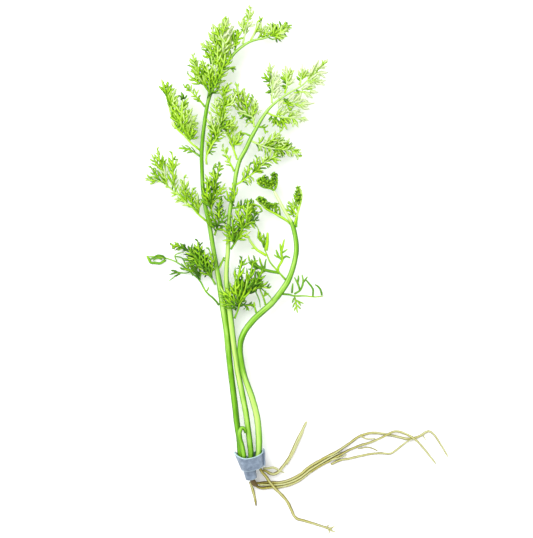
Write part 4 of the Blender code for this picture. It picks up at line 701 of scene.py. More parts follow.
# Sprigs set out one by one from above, in place of the lobes or beside them. Each is:
# tone, then x and y of its foot, its middle and its tip.
FINGERS = {
    "pinna_a_17": (
        (0.66, 4, 213.5, 6.5, 217.5, 9.2, 219.5), (0.6, 6, 214.2, 9, 218, 10.6, 221.2),
        (0.7, 8.2, 214.6, 11.8, 218, 14, 221.2), (0.66, 10, 215, 15, 218.2, 17.4, 221.2),
        (0.6, 11.8, 215.2, 16.2, 217, 19.4, 218.8), (0.5, 11, 215, 14.2, 214.2, 16.8, 213.2),
        (0.4, 9, 214.4, 11, 213.2, 14, 213.6), (0.6, 14, 215.8, 17.2, 217.2, 19.2, 218),
        (0.5, 10.5, 214.8, 11.8, 216.5, 12.2, 219), (0.56, 7, 214, 7.8, 216.5, 8, 219),
    ),
    "pinna_a_10": (
        (0.5, -25.4, 193.8, -26.6, 198.4, -27.4, 202.4), (0.6, -23.9, 191.3, -25.7, 196.3, -26.8, 203.6),
        (0.46, -23.2, 192.7, -23, 198.4, -23.5, 203.1), (0.6, -22.1, 189.5, -23.2, 193.8, -23.9, 198.4),
        (0.5, -21.1, 188.4, -22.5, 192.7, -22.1, 197.4), (0.7, -26.4, 196.3, -27.3, 199.9, -28.4, 205.2),
        (0.6, -25.4, 192.7, -27.1, 194.9, -27.9, 198.4),
    ),
    "pinna_a_11": (
        (0.5, -18.2, 204.1, -19.6, 208.4, -22.1, 211.3), (0.4, -19.8, 206.3, -22.5, 209.9, -25.3, 211),
        (0.3, -19.4, 200.6, -20.1, 204.9, -22.2, 207.4), (0.66, -18.6, 199.1, -17.8, 204.1, -18.9, 208.4),
        (0.7, -16.8, 198.4, -16.4, 204.1, -17.3, 208.4), (0.5, -16.4, 201.3, -18, 205.6, -21.1, 209.9),
        (0.66, -18.8, 189.1, -17.7, 192.7, -15.7, 196.6), (0.74, -18, 189.5, -16.6, 192.4, -13.8, 195.2),
        (0.6, -17.9, 189.1, -15.2, 193.1, -12.9, 196.6), (0.5, -19.3, 188.4, -19.8, 192.7, -19.1, 196.6),
        (0.7, -16.1, 193.4, -13.8, 196.6, -12.3, 200.6), (0.5, -17.1, 194.9, -15, 198.4, -13.8, 202.4),
        (0.4, -18.9, 192, -20.2, 194.9, -20.5, 198.4),
    ),
    "pinna_a_12": (
        (0.95, -13.2, 208.4, -13.3, 215.2, -14.1, 222.8), (0.9, -12.1, 209.1, -12, 216.3, -10.3, 224),
        (0.64, -13.8, 207, -15, 212, -16.8, 218.4), (0.56, -13.2, 204.1, -12.5, 209.1, -11.8, 215.2),
        (0.8, -14.6, 202, -15.7, 207, -15.9, 212.4), (0.66, -15.4, 209.9, -16.8, 214.5, -19.6, 216.7),
        (0.4, -16.1, 207, -17.9, 211.6, -20.5, 213.6), (0.56, -15.2, 211.6, -16.4, 217.4, -18.9, 220.9),
        (0.74, -14.2, 203.4, -13, 208.1, -12.7, 212.7), (0.6, -15, 199.9, -14.1, 203.4, -13.2, 207),
    ),
    "pinna_a_13": (
        (0.6, -12.1, 204.9, -11.8, 209.9, -9.6, 213.8), (0.66, -10.4, 209.9, -9.6, 215.2, -8.9, 220.4),
        (0.44, -8, 210.2, -6.2, 214.1, -3.6, 217.8), (0.56, -8.9, 208.4, -7.5, 211.6, -6.8, 215.2),
        (0.24, -10, 204.1, -9.8, 205.6, -9.6, 207.7), (0.74, -10.7, 207, -10, 210.2, -8.9, 212.7),
        (0.54, -12.9, 205.6, -12.5, 208.8, -12.1, 212.4), (0.5, -7.5, 209.1, -6.4, 212, -5.7, 213.8),
    ),
    "pinna_a_6": (
        (0.46, -41.3, 183.9, -42.9, 189.1, -44.3, 193.5), (0.6, -40.9, 184.8, -41, 188.7, -41.5, 192.5),
        (0.66, -40.6, 183.4, -39.9, 187.3, -37.2, 189.1), (0.6, -39.9, 180.1, -38.6, 184.8, -36.6, 188.9),
        (0.6, -39.4, 177.6, -38.3, 181.2, -38.5, 185.9), (0.6, -39, 174.8, -36.9, 179.4, -36.4, 184.1),
        (0.74, -38.3, 174.1, -37.2, 176.9, -37.4, 180.5), (0.6, -37.6, 170.9, -35.8, 175.5, -35.9, 180.1),
        (0.56, -36.7, 169.1, -34.3, 174.1, -33.6, 183.4), (0.8, -35.4, 167.3, -33.2, 172.6, -32.2, 177.6),
        (0.24, -34.4, 183, -33.6, 184.8, -34.6, 187.4), (0.5, -33.3, 179.8, -32.2, 181.6, -30.4, 184.4),
        (0.64, -34, 166.6, -31.8, 171.9, -28.6, 179.2), (0.66, -32.6, 164.8, -30.2, 171.2, -26.1, 175.9),
        (0.6, -31.1, 163.4, -30.4, 168.4, -28.9, 173), (0.5, -32.9, 173.4, -31.3, 175.9, -29.7, 178),
        (0.5, -30.4, 162.6, -29, 166.2, -28.6, 169.6), (0.8, -36.5, 172.6, -35.4, 176.2, -34.7, 180.5),
        (0.9, -37.2, 168.4, -38.3, 170.9, -38.8, 173.7),
    ),
    "pinna_b_11": (
        (0.95, 1.9, 172.6, 2.9, 176.9, 4.4, 180.2), (0.8, 1.1, 174.7, 0.8, 179.7, 1.1, 184.7),
        (0.86, 0, 174.7, -1.2, 179, -0.5, 181.9), (0.9, -1.4, 175.4, -3.6, 179.7, -2.9, 183.3),
        (0.95, -2.9, 178.6, -4.3, 184, -3.5, 188.6), (0.86, -3.2, 182.2, -2.1, 184.7, -1.1, 184.6),
        (0.3, 0.2, 173.6, -2.9, 175.6, -6.7, 176.8), (0.3, -2.9, 175.4, -4.3, 177.6, -5.7, 178.3),
        (0.3, -3.2, 175.6, -3.8, 174.4, -4.1, 173.1), (0.3, -0.5, 174, -1.4, 172.9, -2, 171.1),
        (0.66, -4.6, 179, -5.7, 182.6, -7.1, 184), (0.9, -5, 179.7, -5.7, 185.1, -5, 187.6),
        (0.5, 1.4, 171.1, 0, 172.9, -1.4, 174.7), (0.7, 2.9, 176.1, 3.9, 176.9, 4.6, 175.2),
    ),
    "pinna_b_13": (
        (0.72, 13.4, 175.4, 15, 177.8, 16.9, 180), (0.8, 16.5, 175.3, 19, 178, 21.5, 179.7),
        (0.7, 19.2, 174.7, 21.7, 177.2, 24.7, 177.6), (0.86, 22.1, 174.4, 24.6, 176.1, 27.2, 176.6),
        (0.3, 10.8, 174.8, 10.3, 173.2, 9.5, 171.9), (0.5, 12.4, 174.7, 12.3, 171.6, 11.2, 169.4),
        (0.44, 12.9, 174.6, 13.7, 171.6, 15.9, 168.6), (0.5, 15.1, 174.5, 16.8, 171.2, 18.7, 167.8),
        (0.7, 18.4, 173.9, 20.5, 172.2, 20.9, 170.7), (0.7, 21.2, 173.8, 23, 171.6, 24.2, 169),
        (0.86, 24.2, 173.7, 26.1, 173.7, 27.5, 171.7), (0.8, 25.8, 173.7, 27.7, 173.7, 29.4, 172.5),
        (0.9, 20, 174.4, 23.3, 174.7, 25.8, 174.9), (0.6, 16.7, 174.3, 18.3, 172, 19.6, 170.8),
        (0.76, 14.6, 175.1, 17.1, 177, 18.3, 178.2),
    ),
    "pinna_b_14": (
        (0.34, 11, 186.8, 9.2, 187.1, 7.3, 186.3), (0.5, 10.7, 189.8, 9.2, 190.7, 7.9, 190.3),
        (0.3, 10.4, 191.4, 8.8, 193.5, 6.7, 196.9), (0.6, 10.2, 194.5, 9.4, 196.1, 8.4, 197.5),
        (0.95, 11.9, 184.7, 14.4, 186.2, 16.9, 187.8), (1, 11.6, 186.6, 13.4, 188.7, 16, 190.5),
        (0.9, 11.2, 188.7, 12.9, 191.6, 15.5, 194.4), (0.95, 11, 190.8, 12.5, 194.1, 13.8, 198.2),
        (1, 10.6, 193, 11.6, 195.1, 12.3, 197.5), (1, 11.8, 183.7, 13.7, 187, 15, 189.1),
        (0.95, 11.3, 187.8, 12.3, 190.3, 13.4, 193.2), (0.8, 10.4, 196.2, 9.9, 199.1, 9.8, 201.8),
    ),
    "pinna_b_15": (
        (1, 19, 182.5, 21.2, 184.9, 23.3, 186.5), (0.9, 21.5, 181.9, 23.8, 184.3, 25.9, 186.2),
        (1, 23.3, 181.5, 26.2, 183, 29.2, 182.4), (0.9, 25, 180.8, 27.5, 178.7, 30.1, 178.3),
        (0.6, 22.1, 181.5, 24.2, 179.9, 26.1, 179.3), (0.5, 18.3, 182.6, 20, 180.3, 22.5, 179.9),
        (1, 25.8, 181.1, 28.3, 181.2, 31.7, 181.1), (0.9, 17.1, 183.2, 15, 181.2, 14.2, 178.7),
        (0.36, 16.9, 183.7, 18.5, 182, 20.8, 181.2),
    ),
    "pinna_b_16": (
        (0.36, 18.7, 189, 17.1, 189.3, 16.2, 188.5), (0.3, 18.5, 190.7, 17.2, 192.8, 14.9, 194.2),
        (0.6, 18.2, 192.3, 17.1, 194.9, 15.8, 197.3), (0.8, 18.7, 193.7, 18.5, 196.6, 18.1, 200.2),
        (0.8, 19, 192.2, 20.4, 194.9, 21.6, 197.9), (0.9, 19.1, 190.3, 20.8, 192.2, 22.8, 193.8),
        (0.7, 19, 194.5, 19.8, 197, 20.2, 199.5),
    ),
    "pinna_b_17": (
        (1, 25.8, 188, 28.4, 189.8, 31.2, 190.8), (0.7, 28.3, 188.2, 30.8, 189.3, 33, 189),
        (1, 27.1, 187.1, 29.2, 185.3, 31.2, 183.6), (0.9, 24.6, 187.6, 25.2, 186.2, 25.3, 184.3),
        (0.36, 23.3, 187.9, 24.2, 187, 24, 186.2), (1, 30, 187.2, 31.7, 187, 34.2, 186.5),
    ),
    "pinna_b_18": (
        (0.36, 25.3, 192.2, 24.2, 193.8, 23.1, 195), (0.7, 25.7, 194.3, 24.6, 196.1, 23.8, 198.1),
        (0.66, 25.9, 193.2, 27.6, 196.1, 29.5, 198.7), (0.9, 26.3, 195.5, 27.1, 197.6, 27.6, 199.6),
    ),
    "pinna_b_19": (
        (1, 29.2, 192.3, 31.5, 194.5, 34.2, 195.8), (0.9, 31.2, 192.4, 33.1, 194.5, 36.1, 195.2),
        (0.9, 32.3, 192.1, 34.4, 190.9, 35.9, 191.1), (0.8, 29.6, 192.1, 31.7, 191, 32.9, 189.1),
        (1, 33.5, 192.3, 35.8, 192.2, 38, 192.8),
    ),
    "pinna_b_20": (
        (0.9, 29.2, 193.5, 29.8, 196.1, 31.1, 198.8), (0.8, 30.3, 194.9, 31.2, 197.8, 32.3, 200.7),
        (0.9, 31.7, 195.8, 33.3, 197.6, 33.8, 200.3), (0.8, 33.1, 197.2, 33.8, 200.3, 34.6, 203),
        (0.9, 34.6, 198.5, 35.8, 199.5, 38.7, 199.6), (1, 33.1, 196.1, 36, 196.6, 39.4, 196.6),
        (0.7, 35.8, 200.1, 37, 201.6, 37.8, 202.8), (0.8, 36.5, 200.8, 37.9, 202.2, 39.2, 203.5),
    ),
}

# The curled heads of the young tips: centre, radius and number of curls in each knot.
HEADS = {
    "pinna_c_5": (
        (9.2, 140.8, 9.4, 2, 14), (6.9, 141.6, 9.3, 2, 14), (5.2, 142.4, 9.2, 1.6, 10),
        (7.4, 143.6, 9.3, 1.7, 10), (11.4, 140.6, 9.4, 1.7, 10), (12.1, 143, 9.7, 1.6, 10),
        (12.1, 145.2, 9.8, 1.5, 10),
    ),
    "pinna_c_6": (
        (8.2, 130.8, 7, 1.5, 9), (6.4, 132.4, 7.1, 1.8, 12), (4.9, 133.4, 7.1, 1.3, 8),
        (10.8, 130.2, 7.2, 1.2, 7), (13, 130.4, 7.4, 1.2, 7),
    ),
    "pinna_c_7": (
        (24.2, 132.4, 8.6, 1.4, 9), (24.2, 134.8, 8.8, 1.6, 11), (24.1, 137.2, 8.8, 1.4, 9),
        (24.1, 139, 8.7, 1, 6),
    ),
}

# Hairs and spurs of the roots, by the piece they belong to: points with a radius.
ROOTLETS = {
    "root_upper": (
        ((6.6, -1.4, 3.7, 0.5), (8.5, -1.5, 3.5, 0.6), (11.6, -1.1, 3, 0.6),
         (13.8, -2.1, 2.6, 0.5), (15.4, -3.1, 1.9, 0.4), (17.4, -3.8, 0.9, 0.22)),
        ((18.2, 0.4, 1.6, 0.5), (20.8, 4.6, 1.5, 0.5), (23.2, 9.4, 1.4, 0.45),
         (25.6, 14.6, 1.2, 0.42), (27.2, 18.4, 0.9, 0.3)),
    ),
    "root_lower": (
        ((39.6, -31.9, 0.6, 0.4), (41.4, -31.2, 0.8, 0.28), (42.6, -30.4, 1.2, 0.15)),
        ((40, -32, 0.6, 0.4), (41.4, -33.2, 0.7, 0.3), (42.8, -33.4, 1, 0.18)),
        ((39.4, -32, 0.6, 0.4), (39.8, -33.4, 0.7, 0.28), (39.4, -34.6, 1, 0.14)),
        ((38.6, -31.4, 0.7, 0.35), (39, -30.4, 0.9, 0.25), (40.2, -29.8, 1.3, 0.12)),
    ),
    "root_strand_a": (
        ((4.6, -9.7, 2.9, 0.4), (9, -9.8, 2.1, 0.5), (15, -9.7, 1.8, 0.5),
         (20.4, -8.5, 1.8, 0.5), (25.4, -6, 1.8, 0.5), (30.2, -2.2, 1.8, 0.5),
         (35.4, 1, 1.7, 0.45), (40.6, 4, 1.6, 0.4), (46, 6.8, 1.3, 0.3)),
        ((39, 4.4, 1.2, 0.5), (42, 5.6, 1.9, 0.42), (47, 9, 1.5, 0.4),
         (50.6, 11.6, 0.9, 0.25)),
        ((86.6, 15.6, 0.8, 0.3), (87.6, 13.6, 0.7, 0.2), (88.4, 12.6, 0.5, 0.12)),
        ((55.6, 14.6, 0.9, 0.35), (58.6, 13.2, 0.8, 0.3), (63, 13.4, 0.6, 0.2)),
    ),
    "root_strand_b": (
        ((40.4, 2.6, 1.2, 0.5), (44.6, 3.6, 1, 0.4), (48.6, 5.4, 0.8, 0.25)),
    ),
}


SMALL_LENGTH = {"unit": "LENGTH", "subtype": "DISTANCE", "precision": 5}


class LeafSettings(bpy.types.PropertyGroup):
    """Sizes and colours of the fronds."""

    segment_width: FloatProperty(
        name="Segment Width", description="Width of a leaf segment at its foot",
        default=1.08 * MM, **SMALL_LENGTH)
    segment_step: FloatProperty(
        name="Segment Step", description="Distance from one fork of a sprig to the next",
        default=1.6 * MM, **SMALL_LENGTH)
    midrib_height: FloatProperty(
        name="Midrib Height", description="How far the midrib stands above the margins",
        default=0.2 * MM, **SMALL_LENGTH)
    keel_depth: FloatProperty(
        name="Keel Depth", description="How far the underside hangs below the margins",
        default=0.16 * MM, **SMALL_LENGTH)
    fork_angle: FloatProperty(
        name="Fork Angle", description="Angle at which a finger leaves its stem",
        default=math.radians(29), unit="ROTATION", subtype="ANGLE")
    shade: FloatVectorProperty(
        name="Shade", description="Colour of the shaded, lower leaves",
        default=(0.019, 0.087, 0.0017), subtype="COLOR")
    green: FloatVectorProperty(
        name="Green", description="Colour of the middle leaves",
        default=(0.122, 0.331, 0.0026), subtype="COLOR")
    bright: FloatVectorProperty(
        name="Bright", description="Colour of the upper leaves",
        default=(0.365, 0.626, 0.01), subtype="COLOR")
    pale: FloatVectorProperty(
        name="Pale", description="Colour of the youngest leaves",
        default=(0.574, 0.67, 0.383), subtype="COLOR")


class StalkSettings(bpy.types.PropertyGroup):
    """Sizes and colours of the stalks."""

    ridges: IntProperty(
        name="Ridges", description="Number of ridges round a stalk", default=9, min=0)
    ridge_depth: FloatProperty(
        name="Ridge Depth", description="Depth of the ridges, as a share of the radius",
        default=0.05, subtype="FACTOR")
    # The colours run from shade to pale: painted shade on the flanks away from the light, the stalks' own
    # green, and paler lit tops as painted light.
    shade: FloatVectorProperty(
        name="Shade", description="Colour in the furrows",
        default=(0.044, 0.148, 0.0026), subtype="COLOR")
    green: FloatVectorProperty(
        name="Green", description="Colour of the flanks",
        default=(0.135, 0.385, 0.0015), subtype="COLOR")
    pale: FloatVectorProperty(
        name="Pale", description="Colour of the ridges",
        default=(0.487, 0.696, 0.174), subtype="COLOR")


class StripSettings(bpy.types.PropertyGroup):
    """Sizes and colours of the wound strip."""

    width: FloatProperty(
        name="Width", description="Width of the strip",
        default=7.3 * MM, **SMALL_LENGTH)
    thickness: FloatProperty(
        name="Thickness", description="Thickness of the strip",
        default=0.7 * MM, **SMALL_LENGTH)
    dip: FloatProperty(
        name="Dip", description="How far the mouth's underside dips below its sides",
        default=3.4 * MM, **SMALL_LENGTH)
    peak: FloatProperty(
        name="Peak", description="How far the mouth's left side stands above its right",
        default=2.4 * MM, **SMALL_LENGTH)
    metal: FloatVectorProperty(
        name="Metal", description="Colour of the worn metal",
        default=(0.245, 0.31, 0.40), subtype="COLOR")
    dull: FloatVectorProperty(
        name="Dull", description="Colour of the dull patches",
        default=(0.12, 0.16, 0.22), subtype="COLOR")
    # A painted highlight along the strip's edges, where its rounded rims catch the light.
    edge_highlight: FloatVectorProperty(
        name="Rim", description="Colour of the bright cut edges",
        default=(0.479, 0.644, 0.696), subtype="COLOR")


class RootSettings(bpy.types.PropertyGroup):
    """Thickness of the roots, and colours of the roots and the rootstock."""

    stoutness: FloatProperty(
        name="Stoutness", description="Thickness of the roots, as a share of their own",
        default=0.84, subtype="FACTOR")
    pale: FloatVectorProperty(
        name="Pale", description="Colour of the young roots",
        default=(0.56, 0.60, 0.35), subtype="COLOR")
    tan: FloatVectorProperty(
        name="Tan", description="Colour of the older roots",
        default=(0.35, 0.32, 0.035), subtype="COLOR")
    brown: FloatVectorProperty(
        name="Brown", description="Colour of the lines and scars",
        default=(0.11, 0.08, 0.006), subtype="COLOR")
    stock: FloatVectorProperty(
        name="Rootstock", description="Colour of the rootstock",
        default=(0.087, 0.044, 0.017), subtype="COLOR")


class StageSettings(bpy.types.PropertyGroup):
    """The floor, the lights and the camera."""

    floor_size: FloatProperty(
        name="Floor Size", description="Length of the floor's side",
        default=3.0, unit="LENGTH", subtype="DISTANCE")
    floor_colour: FloatVectorProperty(
        name="Floor Colour", description="Colour of the floor",
        default=(0.97, 0.97, 0.97), subtype="COLOR")
    camera_height: FloatProperty(
        name="Camera Height", description="Height of the camera above the floor",
        default=1.6, unit="LENGTH", subtype="DISTANCE")
    key_power: FloatProperty(
        name="Key Light", description="Power of the large soft light",
        default=25.5, unit="POWER")
    ambient: FloatProperty(
        name="Ambient Light", description="Strength of the even light all round",
        default=1.24)


def at(x, y, z):
    """A point of the plan, in the frame's metres."""
    return Vector(((x - REST_X) * MM, (y - REST_Y) * MM, z * MM))


def deselect():
    """Leave nothing selected, so that an operator acts on the new piece alone."""
    bpy.ops.object.select_all(action="DESELECT")


def active_mesh():
    """The mesh being edited, as a bmesh."""
    return bmesh.from_edit_mesh(bpy.context.object.data)


def drop(obj):
    """Remove a form that was only modelled to be copied."""
    mesh = obj.data
    bpy.data.objects.remove(obj)
    bpy.data.meshes.remove(mesh)


class Form:
    """A piece modelled once, ready to be copied and bent along a line.

    Its points are in millimetres, but y is the share of its length.
    """

    def __init__(self, obj, margins=None):
        mesh = obj.data
        points = np.array([vertex.co for vertex in mesh.vertices]) / MM
        self.length = points[:, 1].max()
        points[:, 1] /= self.length
        self.points = points
        self.faces = [tuple(face.vertices) for face in mesh.polygons]
        self.margins = np.zeros(len(points)) if margins is None else margins
        turn = np.arctan2(points[:, 0], points[:, 2])
        self.round = np.stack((np.sin(turn), np.cos(turn)), axis=1)
        drop(obj)

    def mirrored(self):
        """The same form, left for right."""
        other = object.__new__(Form)
        other.length = self.length
        other.points = self.points * (-1, 1, 1)
        other.faces = [face[::-1] for face in self.faces]
        other.margins = self.margins
        other.round = self.round * (-1, 1)
        return other


def pull(place, move, turn=0.0, size=1.0):
    """Draw the edge that is centred on a place onwards, and give back its new place."""
    bpy.ops.mesh.select_all(action="DESELECT")
    mesh = active_mesh()
    centre = min(mesh.verts, key=lambda vertex: (vertex.co - place).length)
    for edge in centre.link_edges:
        if edge.is_boundary:
            edge.select_set(True)
    mesh.select_flush_mode()
    bpy.ops.mesh.extrude_region_move(TRANSFORM_OT_translate={"value": move})
    place = place + move
    if turn:
        bpy.ops.transform.rotate(value=-turn, orient_axis="Z", center_override=place)
    bpy.ops.transform.resize(value=(size, size, size), center_override=place)
    return place


def pull_tip(place, move):
    """End a finger: its last edge is drawn out and merged to one point."""
    pull(place, move)
    bpy.ops.mesh.merge(type="CENTER")


def open_side(side, low, high, half):
    """Put a point in the middle of a stem's side edge, so that a finger can leave it."""
    bpy.ops.mesh.select_all(action="DESELECT")
    mesh = active_mesh()
    middle = Vector((side * half, (low + high) / 2, 0))

    def gap(edge):
        return ((edge.verts[0].co + edge.verts[1].co) / 2 - middle).length

    edge = min((edge for edge in mesh.edges if edge.is_boundary), key=gap)
    middle = (edge.verts[0].co + edge.verts[1].co) / 2
    edge.select_set(True)
    bpy.ops.mesh.subdivide(number_cuts=1)
    return middle


def pull_finger(leaf, foot, side, size):
    """Draw a finger from a stem's side, and give back the points along its middle."""
    step = leaf.segment_step
    lean = math.pi / 2 - leaf.fork_angle
    heading = Vector((side * math.sin(leaf.fork_angle), math.cos(leaf.fork_angle), 0))
    outward = (heading + Vector((side, 0, 0))) / 2
    neck = pull(foot, outward * step * NECK_STEP, side * lean / 2, NECK_WIDTH)
    swell = pull(neck, heading * step * FINGER_STEP * size, side * lean / 2, FINGER_SWELL)
    pull_tip(swell, heading * step * size)
    return neck, swell


def lift(places, height, selected):
    """Move the points of a ridge up or down, among the selected points only."""
    mesh = active_mesh()
    chosen = [vertex for vertex in mesh.verts if vertex.select]
    bpy.ops.mesh.select_all(action="DESELECT")
    for vertex in chosen:
        if any((vertex.co - place).length < SAME_PLACE for place in places):
            vertex.co.z += height
    for vertex in chosen:
        vertex.select_set(selected or vertex.select)
    mesh.select_flush_mode()
    bmesh.update_edit_mesh(bpy.context.object.data)


def thicken(leaf, ridge):
    """Give a flat form a midrib above its ridge, a keel below it and a closed skin."""
    bpy.ops.mesh.select_all(action="SELECT")
    bpy.ops.mesh.duplicate()
    lift(ridge, -leaf.keel_depth, selected=True)
    bpy.ops.mesh.select_all(action="INVERT")
    lift(ridge, leaf.midrib_height, selected=False)
    bpy.ops.mesh.select_all(action="SELECT")
    bpy.ops.mesh.remove_doubles(threshold=SAME_PLACE)
    bpy.ops.mesh.select_all(action="DESELECT")
    bpy.ops.mesh.select_non_manifold()
    bpy.ops.mesh.edge_face_add()
    bpy.ops.mesh.select_all(action="SELECT")
    bpy.ops.mesh.normals_make_consistent(inside=False)


def model_sprig(leaf, steps, fingers):
    """A sprig: a flat stem drawn out step by step, with fingers drawn from its sides.

    Each finger is: the side it leaves from, the step it leaves at and its size.
    """
    width, step = leaf.segment_width, leaf.segment_step
    deselect()
    bpy.ops.mesh.primitive_grid_add(x_subdivisions=2, y_subdivisions=1, size=1)
    sprig = bpy.context.object
    bpy.ops.object.mode_set(mode="EDIT")
    bpy.ops.mesh.select_mode(type="EDGE")
    bpy.ops.mesh.select_all(action="SELECT")
    bpy.ops.transform.resize(value=(width * STEM_FOOT, step, 1), center_override=(0, 0, 0))
    bpy.ops.transform.translate(value=(0, step / 2, 0))
    place = Vector((0, step, 0))
    ridge = [Vector((0, 0, 0)), place]
    halves = [width * STEM_FOOT / 2]
    for number in range(1, steps):
        size = STEM_SWELL if number == 1 else STEM_TAPER
        place = pull(place, Vector((0, step, 0)), size=size)
        ridge.append(place)
        halves.append(halves[-1] * size)
    pull_tip(place, Vector((0, step, 0)))
    for side, number, size in fingers:
        middle = open_side(side, number * step, (number + 1) * step, halves[number])
        ridge += [middle, *pull_finger(leaf, middle, side, size)]
    thicken(leaf, ridge)
    bpy.ops.object.mode_set(mode="OBJECT")
    margins = np.array(
        [abs(vertex.co.z) < SAME_PLACE for vertex in sprig.data.vertices], float)
    return Form(sprig, margins)


def model_tube(sides, rings):
    """A round closed tube, a millimetre in length and radius, with rings along it."""
    deselect()
    bpy.ops.mesh.primitive_cylinder_add(
        vertices=sides, radius=MM, depth=MM, location=(0, MM / 2, 0),
        rotation=(math.pi / 2, 0, 0))
    bpy.ops.object.transform_apply(location=True, rotation=True, scale=True)
    tube = bpy.context.object
    bpy.ops.object.mode_set(mode="EDIT")
    bpy.ops.mesh.select_mode(type="EDGE")
    bpy.ops.mesh.select_all(action="DESELECT")
    mesh = active_mesh()
    for edge in mesh.edges:
        ends = [vertex.co.y for vertex in edge.verts]
        edge.select_set(abs(ends[0] - ends[1]) > MM / 2)
    bpy.ops.mesh.subdivide(number_cuts=rings)
    bpy.ops.object.mode_set(mode="OBJECT")
    return Form(tube)


class Line:
    """A smooth line through points of the plan, with a frame at any share of it."""

    STEPS = 8
    UPRIGHT = 0.05

    def __init__(self, points, radii=None):
        knots = [Vector(point) for point in points]
        radii = radii or [1.0] * len(knots)
        places, reach = [], []
        ends = [knots[0] * 2 - knots[1], *knots, knots[-1] * 2 - knots[-2]]
        for number in range(len(knots) - 1):
            before, start, end, after = ends[number:number + 4]
            for step in range(self.STEPS):
                share = step / self.STEPS
                places.append(smooth_point(before, start, end, after, share))
                reach.append(radii[number] + (radii[number + 1] - radii[number]) * share)
        places.append(knots[-1])
        reach.append(radii[-1])
        self.places = np.array(places)
        self.radii = np.array(reach)
        steps = np.linalg.norm(np.diff(self.places, axis=0), axis=1)
        self.length = float(steps.sum())
        self.shares = np.concatenate(([0], np.cumsum(steps))) / self.length
        along = np.gradient(self.places, axis=0)
        self.along = along / np.linalg.norm(along, axis=1)[:, None]
        self.across = self.carried_across()
        self.knots = self.shares[::self.STEPS]

    def carried_across(self):
        """The sideways direction all along, turned no more than the line itself turns."""
        side = np.cross(self.along[0], (0, 0, 1))
        if np.linalg.norm(side) < self.UPRIGHT:
            side = np.array((1.0, 0, 0))
        across = []
        for heading in self.along:
            side = side - heading * side.dot(heading)
            side = side / np.linalg.norm(side)
            across.append(side)
        return np.array(across)

    def sample(self, shares):
        """Places, headings, sideways directions and radii at shares of the length."""
        def read(values):
            if values.ndim == 1:
                return np.interp(shares, self.shares, values)
            return np.stack([np.interp(shares, self.shares, column) for column in values.T],
                            axis=1)
        return read(self.places), read(self.along), read(self.across), read(self.radii)

    def point(self, share):
        """One place on the line."""
        return Vector(self.sample(np.array([share]))[0][0])

    def heading(self, share):
        """The line's direction at one place."""
        return Vector(self.sample(np.array([share]))[1][0])


def smooth_point(before, start, end, after, share):
    """A point between two knots, on a curve that passes through all of them."""
    square, cube = share * share, share * share * share
    return (start * 2 + (end - before) * share
            + (before * 2 - start * 5 + end * 4 - after) * square
            + (start * 3 - before - end * 3 + after) * cube) / 2


class Growth:
    """One piece in the making: copies of forms, each bent along its own line."""

    def __init__(self):
        self.points, self.faces = [], []
        self.tones, self.margins, self.grain = [], [], []
        self.count = 0

    def add(self, form, places, tones, grain):
        """Take in one copy, with its points where they belong."""
        self.faces.extend(tuple(corner + self.count for corner in face)
                          for face in form.faces)
        self.points.append(places)
        self.tones.append(tones)
        self.margins.append(form.margins)
        self.grain.append(grain)
        self.count += len(places)

    def finish(self, name, node, finish, slot):
        """Make the piece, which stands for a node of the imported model."""
        points = np.concatenate(self.points)
        points[:, 2] = np.maximum(points[:, 2], LOWEST)
        points[:, 2] -= np.maximum(points[:, 2] - HIGH, 0) * HIGH_PRESS
        points = (points - (REST_X, REST_Y, 0)) * MM
        mesh = bpy.data.meshes.new(name)
        mesh.from_pydata(points, [], self.faces)
        for label, kind, parts in (
            ("tone", "FLOAT", self.tones), ("margin", "FLOAT", self.margins),
            ("grain", "FLOAT_VECTOR", self.grain),
        ):
            layer = mesh.attributes.new(label, kind, "POINT")
            field = "value" if kind == "FLOAT" else "vector"
            layer.data.foreach_set(field, np.concatenate(parts).astype(np.float32).ravel())
        mesh.shade_smooth()
        mesh.materials.append(finish)
        piece = bpy.data.objects.new(name, mesh)
        bpy.context.scene.collection.objects.link(piece)
        settle(piece, node)


def settle(piece, node):
    """Put a finished piece in its node's place, on the bunch's one body."""
    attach(piece, BODY)
    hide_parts(node)


def tones_along(shares, stops):
    """Tones at shares of a line's length, from stops of a share and a tone."""
    return np.interp(shares, [stop[0] for stop in stops], [stop[1] for stop in stops])


def lay(growth, form, line, tone, width, height=1.0, roll=0.0, cup=0.0):
    """Bend a copy of a flat form along a line.

    roll turns it about the line and cup lifts its fingers above its stem.
    """
    shares = form.points[:, 1]
    places, along, across, _ = line.sample(shares)
    upward = np.cross(across, along)
    side, rise = math.cos(roll), math.sin(roll)
    off = form.points[:, 0] * width
    high = form.points[:, 2] * height + cup * np.abs(off)
    placed = (places + across * (off * side - high * rise)[:, None]
              + upward * (off * rise + high * side)[:, None])
    growth.add(form, placed, tones_along(shares, tone), np.zeros_like(placed))


